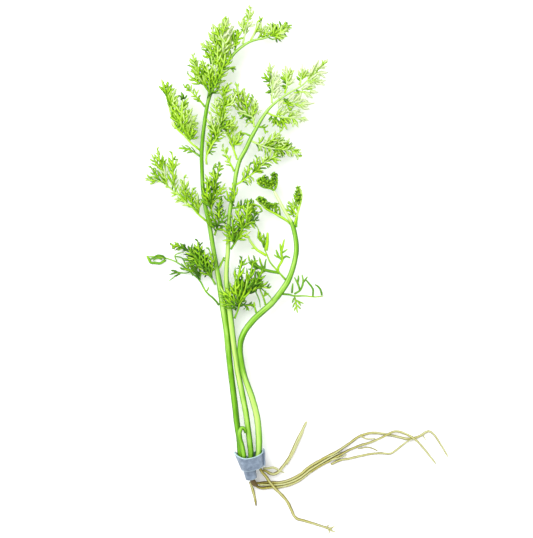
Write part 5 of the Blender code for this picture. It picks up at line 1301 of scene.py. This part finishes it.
def lay_tube(growth, form, line, ridges=0, depth=0.0, lump=0.0, seed=0.0,
             tone=((0, 0.5),), flat=1.0, flank_shade=0.0, lean=0.0):
    """Bend a copy of a round form along a line, as thick as the line says.

    Its tip is drawn in. ridges and depth make lengthwise ridges, lump an uneven
    surface, flat squashes it, the flank setting is how much painted shade darkens its
    flanks, where they turn from the light, and lean how much painted shade darkens its
    right side against its middle.
    """
    shares = form.points[:, 1]
    places, along, across, radii = line.sample(shares)
    upward = np.cross(across, along)
    turn = np.arctan2(form.round[:, 0], form.round[:, 1])
    reach = radii * (1 + depth * np.cos(turn * ridges))
    reach *= np.hypot(form.points[:, 0], form.points[:, 2])
    from_end = (1 - shares) * line.length / radii
    reach *= np.sqrt(np.clip(from_end * TIP_RATE + TIP_SHARE, TIP_SHARE, 1))
    if lump:
        reach *= 1 + lump * np.array([
            noise.noise(Vector((math.sin(angle), math.cos(angle),
                                share * line.length * LUMP_PACE + seed)))
            for angle, share in zip(turn, shares)])
    placed = (places + across * (np.sin(turn) * reach)[:, None]
              + upward * (np.cos(turn) * reach * flat)[:, None])
    # Painted shade: the flanks and the right side are darkened, where the tube turns from the light.
    tones = tones_along(shares, tone) - flank_shade * np.sin(turn) ** 4 - lean * np.sin(turn)
    lengthwise = shares * line.length * GRAIN_PACE + seed
    growth.add(form, placed, tones, np.stack((np.sin(turn), np.cos(turn), lengthwise), axis=1))


def swayed(points, chance, amount):
    """A line's points with gentle bends between them, as a living stem has."""
    bent = [Vector(points[0])]
    for start, end in zip(points, points[1:]):
        start, end = Vector(start), Vector(end)
        stretch = end - start
        aside = stretch.cross(UP) * chance.uniform(-amount, amount)
        arch = UP * stretch.length * chance.uniform(0, amount)
        bent.append((start + end) / 2 + aside + arch)
        bent.append(end)
    return bent


def turned(heading, angle):
    """A level direction, turned to the left by an angle."""
    return Vector((heading.x * math.cos(angle) - heading.y * math.sin(angle),
                   heading.x * math.sin(angle) + heading.y * math.cos(angle), 0))


class Sprigs:
    """The forms that every frond is made of, each modelled once."""

    def __init__(self, leaf):
        self.finger = model_sprig(leaf, 3, ())
        self.fork = model_sprig(leaf, 3, ((1, 1, 0.72),))
        self.trident = model_sprig(leaf, 4, ((1, 1, 0.9), (-1, 2, 0.7)))
        self.antler = model_sprig(leaf, 5, ((1, 1, 1.0), (-1, 2, 0.9), (1, 3, 0.55)))
        self.spray = model_sprig(
            leaf, 7, ((-1, 1, 1.0), (1, 2, 1.15), (-1, 3, 1.0), (1, 4, 0.85), (-1, 5, 0.55)))
        self.shoot = model_tube(sides=8, rings=18)
        self.mirrored = {
            form: form.mirrored()
            for form in (self.finger, self.fork, self.trident, self.antler, self.spray)
        }

    def fitting(self, length, chance):
        """One of the two forms nearest to a lobe in length, either way round."""
        forms = sorted(self.mirrored,
                       key=lambda form: abs(math.log(form.length / length / FINENESS)))
        form = forms[0] if chance.random() < NEAREST_CHOSEN else forms[1]
        return self.mirrored[form] if chance.random() < 0.5 else form


def add_sprig(growth, sprigs, points, chance, tone, sway=0.1, width=1.0):
    """Lay the sprig that fits along a lobe's points."""
    line = Line(swayed(points, chance, sway))
    form = sprigs.fitting(line.length, chance)
    least, most = WIDTH_LIMITS
    scale = min(max(line.length / form.length, least), most)
    tones = [(share, tone + more) for share, more in SPRIG_FOOT_SHADE_TONES]
    lay(growth, form, line, tones, scale * width,
        roll=chance.uniform(-SPRIG_ROLL, SPRIG_ROLL), cup=chance.uniform(*SPRIG_CUP))


class Outline:
    """The outline of a blade from above, which its small sprigs keep to."""

    def __init__(self, points, spare):
        self.spare = spare
        flat = [tuple(point[:2]) for point in points]
        self.corners = [Vector(flat[number]) for number in convex_hull_2d(flat)]

    def holds(self, place):
        """Whether a place is within the outline, give or take a little."""
        place = Vector((place.x, place.y))
        sides = zip(self.corners, self.corners[1:] + self.corners[:1])
        return all((end - start).cross(place - start) > -self.spare * (end - start).length
                   for start, end in sides)


def guides_of(line, lobes):
    """The direction, length and place on the rib of each lobe, by its side."""
    guides = {-1: [], 1: []}
    for share, points in lobes:
        reach = Vector(points[-1]) - Vector(points[0])
        heading = line.heading(share)
        side = 1 if heading.x * reach.y - heading.y * reach.x > 0 else -1
        level = Vector((reach.x, reach.y, 0))
        guides[side].append((share, level.normalized(), level.length, reach.z / level.length))
    return guides


def grow_fill(growth, sprigs, line, guides, outline, look, chance, sink=0.0):
    """Small sprigs all along a line, swept the way the lobes beside them go."""
    tone, spacing, longer = look
    side = chance.choice((-1, 1))
    share = FILL_STRETCH[0] + chance.uniform(0, 1) * spacing / line.length
    while share < FILL_STRETCH[1]:
        side = -side
        if guides[-side] and not guides[side]:
            share += spacing * 0.5 / line.length
            continue
        start, heading = line.point(share), line.heading(share)
        level = Vector((heading.x, heading.y, 0)).normalized()
        aim = turned(level, side * math.radians(chance.uniform(*FILL_ANGLES)))
        length = chance.uniform(*FILL_LENGTHS) + longer
        length *= FILL_SHRINK[0] - FILL_SHRINK[1] * share
        rise = chance.uniform(*FILL_RISE)
        if guides[side]:
            guide = min(guides[side], key=lambda guide: abs(guide[0] - share))
            away = abs(guide[0] - share) * line.length / GUIDE_REACH
            hold = max(0.0, GUIDE_HOLD * (1 - away))
            aim = aim.lerp(guide[1], hold).normalized()
            length += (guide[2] * chance.uniform(*GUIDE_SHARES) + longer - length) * hold
            rise += (guide[3] - rise) * hold
        aim = turned(aim, chance.uniform(-FILL_STRAY, FILL_STRAY))
        while length > SHORTEST and not outline.holds(start + aim * length):
            length *= SHORTEN
        start = start - UP * sink
        bow = turned(aim, -side * chance.uniform(0.0, FILL_BOW))
        middle = start + bow * length * 0.5 + UP * rise * length * 0.35
        end = start + aim * length + UP * rise * length
        add_sprig(growth, sprigs, [start, middle, end], chance,
                  tone + chance.uniform(*FILL_TONES), sway=FILL_SWAY)
        share += spacing * chance.uniform(*FILL_GAPS) / line.length


def grow_rib(growth, sprigs, rib, tone, chance):
    """A blade's rib, from inside its stalk to its tip."""
    foot = rib[0] + (rib[0] - rib[1]).normalized() * RIB_SINK
    radii = [RIB_FOOT - RIB_TAPER * number / len(rib) for number in range(len(rib))]
    line = Line([foot, *rib], [RIB_ROOT, *radii])
    # The rib's flanks get painted shade.
    lay_tube(growth, sprigs.shoot, line, ridges=2, depth=0.08,
             seed=chance.random() * GRAIN_STRETCH,
             tone=((0, tone - 0.1), (1, tone + 0.12)), flat=0.8, flank_shade=0.2)
    return line


def grow_strands(growth, sprigs, strands, chance):
    """Long fingers and forked sprigs, each laid along its own points."""
    for radius, tone, points in strands:
        if not radius:
            add_sprig(growth, sprigs, points, chance, tone, sway=STEADY)
            continue
        fine = Line(points, [radius] * (len(points) - 1) + [radius * STRAND_TIP])
        # The strand's flanks get painted shade.
        lay_tube(growth, sprigs.shoot, fine, seed=chance.random() * GRAIN_STRETCH,
                 tone=((0, tone - 0.05), (1, tone + 0.1)), flat=0.75, flank_shade=0.25)


def grow_fingers(growth, sprigs, line, fingers, twins, chance):
    """Sprigs set out from above, at the height of the rib beside their feet."""
    for tone, *flat in fingers:
        foot = Vector((*flat[:2], 0))
        places = [line.point(step / RIB_STEPS) for step in range(RIB_STEPS + 1)]
        foot.z = min(places, key=lambda place: math.hypot(place.x - foot.x,
                                                          place.y - foot.y)).z
        height = foot.z + chance.uniform(*FINGER_RISE)
        points = [Vector((*flat[2:4], height)), Vector((*flat[4:6], height))]
        # The upper finger is a little paler, and its twins below it are darker with painted shade.
        add_sprig(growth, sprigs, [foot, *points], chance, tone + 0.08, sway=STEADY,
                  width=FINGER_WIDTH)
        for side in (-1, 1) if twins else ():
            aside = math.radians(side * chance.uniform(*TWIN_ANGLES))
            size = chance.uniform(*TWIN_SIZES)
            twin = [foot + turned(point - foot, aside) * size for point in points]
            for point in twin:
                point.z = height - TWIN_DROP
            add_sprig(growth, sprigs, [foot, *twin], chance, tone - 0.04, width=TWIN_WIDTH)


def grow_lobes(growth, sprigs, line, shape, tone, fill, chance):
    """A blade's lobes, and the small sprigs that fill it between them."""
    spacing, layers, spread = fill
    rib = [Vector(point) for point in shape["rib"]]
    lobes, smaller = [], []
    for foot, points, *twigs in shape["lobes"]:
        lobes.append((line.knots[foot + 1], [rib[foot], *points]))
        for twig in twigs[0] if twigs else ():
            smaller.append([points[twig[0]], *twig[1]])
    guides = guides_of(line, lobes)
    lobes = [points for _, points in lobes]
    corners = [*rib, *(point for points in lobes + smaller for point in points)]
    outline = Outline(corners, 0.5 + spread)
    for points in (*lobes, *smaller, rib[-2:]):
        add_sprig(growth, sprigs, points, chance, tone + chance.uniform(-0.12, 0.14))
    for layer in range(layers):
        look = (tone - LAYER_SHADE * layer, spacing, spread)
        grow_fill(growth, sprigs, line, guides, outline, look, chance,
                  sink=LAYER_DROP * layer)
    unguided = {-1: [], 1: []}
    for points in lobes:
        branch = Line(points)
        if branch.length > LOBE_BEARS:
            # These sprigs lie lower, and painted shade darkens them.
            look = (tone - 0.1, spacing * 1.4, 0.0)
            grow_fill(growth, sprigs, branch, unguided, outline, look, chance, sink=0.3)


def grow_blade(growth, sprigs, node, shape, look, chance):
    """One side branch of a frond."""
    tone, *fill = look
    rib = [Vector(point) for point in shape["rib"]]
    line = grow_rib(growth, sprigs, rib, tone, chance)
    grow_strands(growth, sprigs, STRANDS.get(node, ()), chance)
    grow_fingers(growth, sprigs, line, FINGERS.get(node, ()), not fill, chance)
    if fill:
        grow_lobes(growth, sprigs, line, shape, tone, fill, chance)


def grow_head(growth, sprigs, knots, chance, tone):
    """The curled head of a young tip: knots of short fingers that all curl inwards."""
    for x, y, z, radius, count in knots:
        centre = Vector((x, y, z))
        for number in range(count):
            height = 1 - 1.5 * (number + 0.5) / count
            turn = number * GOLDEN_ANGLE
            level = math.sqrt(max(1 - height * height, 0))
            outward = Vector((math.cos(turn) * level, math.sin(turn) * level, height))
            aside = outward.cross(UP + Vector((0.3, 0.2, 0))).normalized()
            line = Line([centre + outward * radius * out + aside * radius * off
                         for out, off in CURL])
            # Each finger is darker at its foot, within the knot: painted shade.
            own = tone + chance.uniform(-0.16, 0.16)
            lay(growth, sprigs.finger, line, ((0, own - 0.25), (0.7, own + 0.1)),
                width=0.95, height=1.6, roll=chance.uniform(-0.4, 0.4))


class Finish:
    """A procedural material in the making."""

    def __init__(self, name, roughness, specular=0.5, metallic=0.0):
        self.material = bpy.data.materials.new(name)
        self.material.use_nodes = True
        tree = self.material.node_tree
        self.nodes, self.links = tree.nodes, tree.links
        self.shader = self.nodes["Principled BSDF"]
        self.shader.inputs["Roughness"].default_value = roughness
        self.shader.inputs["Specular IOR Level"].default_value = specular
        self.shader.inputs["Metallic"].default_value = metallic

    def node(self, kind, **values):
        """A new node with its values set."""
        made = self.nodes.new(kind)
        for key, value in values.items():
            setattr(made, key, value)
        return made

    def join(self, output, socket):
        """Lead an output to a socket."""
        self.links.new(output, socket)

    def attribute(self, name, output="Fac"):
        """A value that was stored on the piece's points."""
        return self.node("ShaderNodeAttribute", attribute_name=name).outputs[output]

    def place(self):
        """The point's place in the frame."""
        return self.node("ShaderNodeTexCoord").outputs["Object"]

    def stretched(self, vector, scale):
        """A vector scaled along its three axes."""
        mapping = self.node("ShaderNodeMapping")
        mapping.inputs["Scale"].default_value = scale
        self.join(vector, mapping.inputs["Vector"])
        return mapping.outputs["Vector"]

    def speckle(self, vector, scale, detail=3.0, roughness=0.55):
        """A soft noise between 0 and 1."""
        made = self.node("ShaderNodeTexNoise")
        made.inputs["Scale"].default_value = scale
        made.inputs["Detail"].default_value = detail
        made.inputs["Roughness"].default_value = roughness
        self.join(vector, made.inputs["Vector"])
        return made.outputs["Fac"]

    def sum(self, first, second, factor, offset):
        """first + second * factor + offset."""
        scaled = self.node("ShaderNodeMath", operation="MULTIPLY_ADD")
        self.join(second, scaled.inputs[0])
        scaled.inputs[1].default_value = factor
        self.join(first, scaled.inputs[2])
        moved = self.node("ShaderNodeMath", operation="ADD")
        self.join(scaled.outputs[0], moved.inputs[0])
        moved.inputs[1].default_value = offset
        return moved.outputs[0]

    def ramp(self, value, stops):
        """Colours along a value: each stop is a place and a colour."""
        made = self.node("ShaderNodeValToRGB")
        elements = made.color_ramp.elements
        elements.remove(elements[1])
        elements[0].position, elements[0].color = stops[0][0], (*stops[0][1], 1)
        for place, colour in stops[1:]:
            elements.new(place).color = (*colour, 1)
        self.join(value, made.inputs["Fac"])
        return made.outputs["Color"]

    def mixed(self, share, first, second):
        """From one colour to another, a plain one, by a share."""
        made = self.node("ShaderNodeMix", data_type="RGBA")
        self.join(share, made.inputs[0])
        self.join(first, made.inputs[6])
        made.inputs[7].default_value = (*second, 1)
        return made.outputs[2]

    def colour(self, output):
        """Colour the piece."""
        self.join(output, self.shader.inputs["Base Color"])

    def bump(self, height, distance, strength):
        """Raise the surface by a height between 0 and 1 times a distance."""
        made = self.node("ShaderNodeBump")
        made.inputs["Distance"].default_value = distance
        made.inputs["Strength"].default_value = strength
        self.join(height, made.inputs["Height"])
        self.join(made.outputs["Normal"], self.shader.inputs["Normal"])


def leaf_finish(leaf):
    """Leaves: darker in the shade, with painted shade at the margins and a painted highlight along the
    middle, paler where they are young.
    """
    made = Finish("leaf_green", roughness=0.42, specular=0.22)
    place = made.place()
    patches = made.speckle(place, scale=190)
    cells = made.speckle(place, scale=1900, detail=2)
    value = made.sum(made.attribute("tone"), patches, factor=0.5, offset=-0.25)
    value = made.sum(value, cells, factor=0.16, offset=-0.08)
    # Painted shade at the margins and a painted highlight along each segment's middle, as on a rounded
    # segment lit from above.
    value = made.sum(value, made.attribute("margin"), factor=-0.36, offset=0.12)
    made.colour(made.ramp(value, (
        (0.10, leaf.shade), (0.40, leaf.green), (0.66, leaf.bright), (0.98, leaf.pale))))
    made.bump(cells, distance=0.08 * MM, strength=0.5)
    return made.material


def stalk_finish(stalk):
    """Stalks: fine fibres run along them as darker streaks, and the tones bring painted shade to their
    flanks.
    """
    made = Finish("stalk_green", roughness=0.33, specular=0.2)
    grain = made.attribute("grain", "Vector")
    fibres = made.speckle(made.stretched(grain, (3.2, 3.2, 0.35)), scale=1.6, detail=4)
    patches = made.speckle(made.stretched(grain, (0.8, 0.8, 1.2)), scale=1.0)
    value = made.sum(made.attribute("tone"), fibres, factor=1.1, offset=-0.55)
    value = made.sum(value, patches, factor=0.6, offset=-0.3)
    made.colour(made.ramp(value, (
        (0.08, stalk.shade), (0.42, stalk.green), (0.95, stalk.pale))))
    made.bump(fibres, distance=0.2 * MM, strength=0.6)
    return made.material


def root_finish(root):
    """Roots: pale when young, tan when older, with brown lines along them."""
    made = Finish("root_tan", roughness=0.45, specular=0.35)
    grain = made.attribute("grain", "Vector")
    lines = made.speckle(made.stretched(grain, (2.2, 2.2, 0.55)), scale=1.5, detail=4)
    scars = made.speckle(made.stretched(grain, (1.0, 1.0, 6.0)), scale=2.4, detail=2)
    value = made.sum(made.attribute("tone"), lines, factor=1.5, offset=-0.78)
    value = made.sum(value, scars, factor=0.6, offset=-0.3)
    made.colour(made.ramp(value, (
        (0.06, root.brown), (0.34, root.tan), (0.84, root.pale))))
    made.bump(lines, distance=0.25 * MM, strength=0.7)
    return made.material


def stock_finish(root):
    """The rootstock: rough brown scales."""
    made = Finish("rootstock", roughness=0.7)
    grain = made.attribute("grain", "Vector")
    scales = made.speckle(made.stretched(grain, (2.0, 2.0, 3.0)), scale=2.5, detail=5)
    made.colour(made.ramp(scales, ((0.3, root.stock), (0.7, root.brown))))
    made.bump(scales, distance=0.4 * MM, strength=0.8)
    return made.material


def strip_finish(strip):
    """The strip: soft grey metal, mottled, with a painted highlight along its edges."""
    made = Finish("strip_metal", roughness=0.42, metallic=0.35)
    place = made.place()
    mottle = made.speckle(place, scale=420, detail=5, roughness=0.65)
    clouds = made.speckle(place, scale=90, detail=2)
    value = made.sum(mottle, clouds, factor=0.6, offset=-0.3)
    body = made.ramp(value, ((0.34, strip.dull), (0.66, strip.metal)))
    # Painted highlight along the strip's edges.
    edge = made.ramp(made.attribute("margin"), ((0.55, (0, 0, 0)), (0.95, (0.85,) * 3)))
    made.colour(made.mixed(edge, body, strip.edge_highlight))
    made.bump(mottle, distance=0.12 * MM, strength=0.6)
    return made.material


def floor_finish(stage):
    """A plain pale floor."""
    made = Finish("floor", roughness=0.9, specular=0.0)
    made.shader.inputs["Base Color"].default_value = (*stage.floor_colour, 1)
    return made.material


def strip_key(angle):
    """Radius, flare, shift and low edge of the strip at an angle, in degrees."""
    return [float(np.interp(angle, [key[0] for key in STRIP_KEYS],
                            [key[column] for key in STRIP_KEYS]))
            for column in range(1, 5)]


def strip_point(angle, high, strip):
    """A point on the strip's mid surface, from its low (0) to its high (1) edge."""
    radius, flare, shift, low = strip_key(math.degrees(angle))
    if math.degrees(angle) > WIDE_TURN:
        high *= (1 - strip.dip / strip.width * max(-math.sin(angle) - DIP_FROM, 0.0) / (1 - DIP_FROM)
                 + strip.peak / strip.width * max(-math.cos(angle), 0.0) ** 3)
    heading = Vector((-math.sin(BAND_LEAN), math.cos(BAND_LEAN), 0))
    axis = heading * math.cos(BAND_TILT) + UP * math.sin(BAND_TILT)
    across = Vector((math.cos(BAND_LEAN), math.sin(BAND_LEAN), 0))
    upward = across.cross(axis)
    reach = radius + flare * high
    reach += DENT_DEPTH * noise.noise(
        Vector((angle * DENT_PACE[0], high * DENT_PACE[1], DENT_START)))
    out = across * (math.cos(angle) * reach + shift) + upward * (math.sin(angle) * reach)
    place = Vector(BAND_FOOT) + axis * (low + strip.width / MM * high) + out
    return at(*place)


class WATERSPRITE_OT_strip(bpy.types.Operator):
    """Wind the metal strip round the foot of the bunch"""

    bl_idname = "watersprite.strip"
    bl_label = "Wound Strip"

    ALONG = 190
    ACROSS = 10
    TAIL_ANGLE = math.radians(13)
    TAIL_RISE = 0.34
    SOFTNESS = 0.2

    def execute(self, context):
        strip = context.scene.watersprite_strip
        deselect()
        bpy.ops.mesh.primitive_grid_add(
            x_subdivisions=self.ALONG, y_subdivisions=self.ACROSS, size=1)
        piece = context.object
        piece.name = piece.data.name = "wound_strip"
        start, end = (math.radians(STRIP_KEYS[number][0]) for number in (0, -1))
        edges = piece.data.attributes.new("margin", "FLOAT", "POINT")
        for vertex in piece.data.vertices:
            along, high = vertex.co.x + 0.5, vertex.co.y + 0.5
            edges.data[vertex.index].value = float(abs(vertex.co.y) > 0.5 - SAME_PLACE)
            angle = start + (end - start) * along
            tail = max(0.0, 1 - (end - angle) / self.TAIL_ANGLE)
            high *= 1 + self.TAIL_RISE * tail * tail
            vertex.co = strip_point(angle, high, strip)
        wall = piece.modifiers.new("Thickness", "SOLIDIFY")
        wall.thickness = strip.thickness
        wall.offset = 0
        soft = piece.modifiers.new("Soft edges", "BEVEL")
        soft.width = strip.thickness * self.SOFTNESS
        soft.segments = 2
        for name in ("Thickness", "Soft edges"):
            bpy.ops.object.modifier_apply(modifier=name)
        for vertex in piece.data.vertices:
            vertex.co.z = max(vertex.co.z, STRIP_LOWEST * MM)
        bpy.ops.object.shade_smooth()
        piece.data.materials.append(strip_finish(strip))
        settle(piece, "band")
        return {"FINISHED"}


class WATERSPRITE_OT_crown(bpy.types.Operator):
    """Shape the rootstock that the stalks and roots grow from"""

    bl_idname = "watersprite.crown"
    bl_label = "Rootstock"

    def execute(self, context):
        form = model_tube(sides=20, rings=26)
        line = Line([section[:3] for section in CROWN], [section[3] for section in CROWN])
        growth = Growth()
        lay_tube(growth, form, line, lump=0.3, seed=2.0, flat=0.75)
        finish = stock_finish(context.scene.watersprite_root)
        growth.finish("rootstock", "crown", finish, "crown")
        return {"FINISHED"}


class WATERSPRITE_OT_stalks(bpy.types.Operator):
    """Grow the three leaf stalks and the short curled one"""

    bl_idname = "watersprite.stalks"
    bl_label = "Stalks"

    # Node, points, and the tones along the stalk: the stalk's own colour from place to place, with
    # painted highlights where light catches it, as at the hook's bend.
    STALKS = (
        ("stalk_a", STALK_A,
         ((0, 0.30), (0.12, 0.36), (0.22, 0.46), (0.32, 0.68), (0.42, 0.62), (0.6, 0.46),
          (0.72, 0.36), (0.85, 0.58), (1, 0.80))),
        ("stalk_b", STALK_B,
         ((0, 0.52), (0.06, 0.60), (0.2, 0.86), (0.36, 0.80), (0.46, 0.90), (0.6, 0.60),
          (0.75, 0.66), (0.82, 0.74), (0.87, 0.92), (1, 0.96))),
        ("stalk_c", STALK_C,
         ((0, 0.66), (0.06, 0.78), (0.16, 0.90), (0.28, 0.84), (0.38, 0.46), (0.46, 0.42),
          (0.54, 0.58), (0.64, 0.64), (0.76, 0.56), (0.9, 0.54), (1, 0.60))),
        ("stalk_hook", STALK_HOOK, ((0, 0.50), (0.5, 0.46), (0.75, 0.62), (1, 0.16))),
    )

    def execute(self, context):
        stalk = context.scene.watersprite_stalk
        form = model_tube(sides=22, rings=110)
        finish = stalk_finish(stalk)
        for seed, (node, points, tone) in enumerate(self.STALKS):
            line = Line([point[:3] for point in points], [point[3] for point in points])
            growth = Growth()
            # The flanks and the right side of each stalk get painted shade.
            lay_tube(growth, form, line, ridges=stalk.ridges, depth=stalk.ridge_depth,
                     lump=0.06, seed=seed * 3.7, tone=tone, flank_shade=0.8, lean=0.24)
            growth.finish(f"{node}_ridged", node, finish, "stalk")
        return {"FINISHED"}


class WATERSPRITE_OT_roots(bpy.types.Operator):
    """Grow the roots, with their hairs and spurs"""

    bl_idname = "watersprite.roots"
    bl_label = "Roots"

    # Tones along each root, and along the hairs that leave it.
    TONES = {
        "root_upper": ((0, 0.30), (0.15, 0.62), (1, 0.76)),
        "root_lower": ((0, 0.34), (0.1, 0.50), (1, 0.62)),
        "root_stub": ((0, 0.66), (0.6, 0.60), (1, 0.04)),
        "root_strand_a": ((0, 0.06), (0.06, 0.34), (0.14, 0.60), (0.5, 0.52), (1, 0.80)),
        "root_strand_b": ((0, 0.10), (0.06, 0.40), (0.14, 0.56), (0.5, 0.50), (1, 0.76)),
        "root_strand_c": ((0, 0.56), (1, 0.76)),
        "root_thread": ((0, 0.60), (1, 0.60)),
    }

    def execute(self, context):
        root = context.scene.watersprite_root
        form = model_tube(sides=14, rings=110)
        hair = model_tube(sides=8, rings=14)
        finish = root_finish(root)
        for seed, (node, points) in enumerate(ROOTS.items()):
            growth = Growth()
            tone = self.TONES[node]
            line = Line([point[:3] for point in points],
                        [point[3] * root.stoutness for point in points])
            # Painted shade darkens each root's flanks into dark outlines, and its hairs' flanks a little.
            lay_tube(growth, form, line, ridges=3, depth=0.07, lump=0.22,
                     seed=seed * 5.3, tone=tone, flank_shade=0.95)
            for number, rootlet in enumerate(ROOTLETS.get(node, ())):
                line = Line([point[:3] for point in rootlet],
                            [point[3] for point in rootlet])
                lay_tube(growth, hair, line, lump=0.15, seed=seed + number * 1.7,
                         tone=((0, 0.66), (1, tone[-1][1])), flank_shade=0.6)
            growth.finish(f"{node}_bare", node, finish, "root")
        return {"FINISHED"}


class FrondOperator:
    """What the three fronds have in common."""

    letter, blades, looks, seed = "", (), (), 0

    def execute(self, context):
        leaf = context.scene.watersprite_leaf
        sprigs = Sprigs(leaf)
        finish = leaf_finish(leaf)
        for number, (shape, look) in enumerate(zip(self.blades, self.looks), 1):
            node = f"pinna_{self.letter}_{number}"
            chance = random.Random(self.seed + number)
            growth = Growth()
            grow_blade(growth, sprigs, node, shape, look, chance)
            if node in HEADS:
                grow_head(growth, sprigs, HEADS[node], chance, look[0])
            growth.finish(f"{node}_leaf", node, finish, "leaf")
        return {"FINISHED"}


class WATERSPRITE_OT_frond_a(FrondOperator, bpy.types.Operator):
    """Grow the blades of the left frond, which bends over at the top"""

    bl_idname = "watersprite.frond_a"
    bl_label = "Left Frond"
    letter, blades, looks, seed = "a", PINNAE_A, LOOK_A, 100


class WATERSPRITE_OT_frond_b(FrondOperator, bpy.types.Operator):
    """Grow the blades of the middle frond, spread towards the upper right"""

    bl_idname = "watersprite.frond_b"
    bl_label = "Middle Frond"
    letter, blades, looks, seed = "b", PINNAE_B, LOOK_B, 200


class WATERSPRITE_OT_frond_c(FrondOperator, bpy.types.Operator):
    """Grow the blades and curled young tips of the right frond"""

    bl_idname = "watersprite.frond_c"
    bl_label = "Right Frond"
    letter, blades, looks, seed = "c", PINNAE_C, LOOK_C, 300


class WATERSPRITE_OT_stage(bpy.types.Operator):
    """Set up the floor, the soft light and the camera above the bunch"""

    bl_idname = "watersprite.stage"
    bl_label = "Stage"

    LIGHT_SIZE = 1.3
    LIGHT_AWAY = (-0.75, 0.85, 1.45)
    SENSOR_HEIGHT = 36
    FARTHEST_SEEN = 20

    def execute(self, context):
        scene, stage = context.scene, context.scene.watersprite_stage
        middle = at(*PHOTO_MIDDLE, 0)
        deselect()
        bpy.ops.mesh.primitive_plane_add(size=stage.floor_size, location=middle)
        floor = context.object
        floor.name = "floor"
        floor.data.materials.append(floor_finish(stage))

        light = bpy.data.lights.new("key_light", "AREA")
        light.size = self.LIGHT_SIZE
        light.energy = stage.key_power
        key = bpy.data.objects.new("key_light", light)
        key.location = middle + Vector(self.LIGHT_AWAY)
        key.rotation_euler = (middle - key.location).to_track_quat("-Z", "Y").to_euler()
        scene.collection.objects.link(key)

        scene.world = scene.world or bpy.data.worlds.new("world")
        scene.world.use_nodes = True
        background = scene.world.node_tree.nodes["Background"]
        background.inputs["Color"].default_value = (1, 1, 1, 1)
        background.inputs["Strength"].default_value = stage.ambient

        lens = bpy.data.cameras.new("camera")
        lens.sensor_fit = "VERTICAL"
        lens.sensor_height = self.SENSOR_HEIGHT
        away = stage.camera_height - SUBJECT_HEIGHT * MM
        lens.lens = lens.sensor_height * away / (PHOTO_HEIGHT * MM)
        lens.clip_end = self.FARTHEST_SEEN
        camera = bpy.data.objects.new("camera", lens)
        camera.location = middle + UP * stage.camera_height
        scene.collection.objects.link(camera)
        scene.camera = camera
        scene.view_settings.view_transform = "Standard"
        return {"FINISHED"}


class WATERSPRITE_PT_bunch(bpy.types.Panel):
    """The pieces of the bunch, with their sizes and colours"""

    bl_idname = "WATERSPRITE_PT_bunch"
    bl_label = "Water Sprite Bunch"
    bl_space_type = "VIEW_3D"
    bl_region_type = "UI"
    bl_category = "Water Sprite"

    def draw(self, context):
        layout = self.layout
        for operator in OPERATORS:
            layout.operator(operator.bl_idname)
        for name in SETTINGS:
            box = layout.box()
            group = getattr(context.scene, f"watersprite_{name}")
            for field in group.bl_rna.properties:
                if not field.is_readonly and field.identifier != "name":
                    box.prop(group, field.identifier)


SETTINGS = {
    "leaf": LeafSettings,
    "stalk": StalkSettings,
    "strip": StripSettings,
    "root": RootSettings,
    "stage": StageSettings,
}
OPERATORS = (
    WATERSPRITE_OT_stage,
    WATERSPRITE_OT_strip,
    WATERSPRITE_OT_crown,
    WATERSPRITE_OT_stalks,
    WATERSPRITE_OT_roots,
    WATERSPRITE_OT_frond_a,
    WATERSPRITE_OT_frond_b,
    WATERSPRITE_OT_frond_c,
)


def register():
    """Make the settings, the operators and the panel known."""
    for name, group in SETTINGS.items():
        bpy.utils.register_class(group)
        setattr(bpy.types.Scene, f"watersprite_{name}", PointerProperty(type=group))
    for operator in OPERATORS:
        bpy.utils.register_class(operator)
    bpy.utils.register_class(WATERSPRITE_PT_bunch)


def unregister():
    """Take all of it back."""
    bpy.utils.unregister_class(WATERSPRITE_PT_bunch)
    for operator in reversed(OPERATORS):
        bpy.utils.unregister_class(operator)
    for name, group in SETTINGS.items():
        delattr(bpy.types.Scene, f"watersprite_{name}")
        bpy.utils.unregister_class(group)


def main():
    """Make every piece."""
    register()
    bpy.ops.watersprite.stage()
    bpy.ops.watersprite.strip()
    bpy.ops.watersprite.crown()
    bpy.ops.watersprite.stalks()
    bpy.ops.watersprite.roots()
    bpy.ops.watersprite.frond_a()
    bpy.ops.watersprite.frond_b()
    bpy.ops.watersprite.frond_c()


if __name__ == "__main__":
    main()
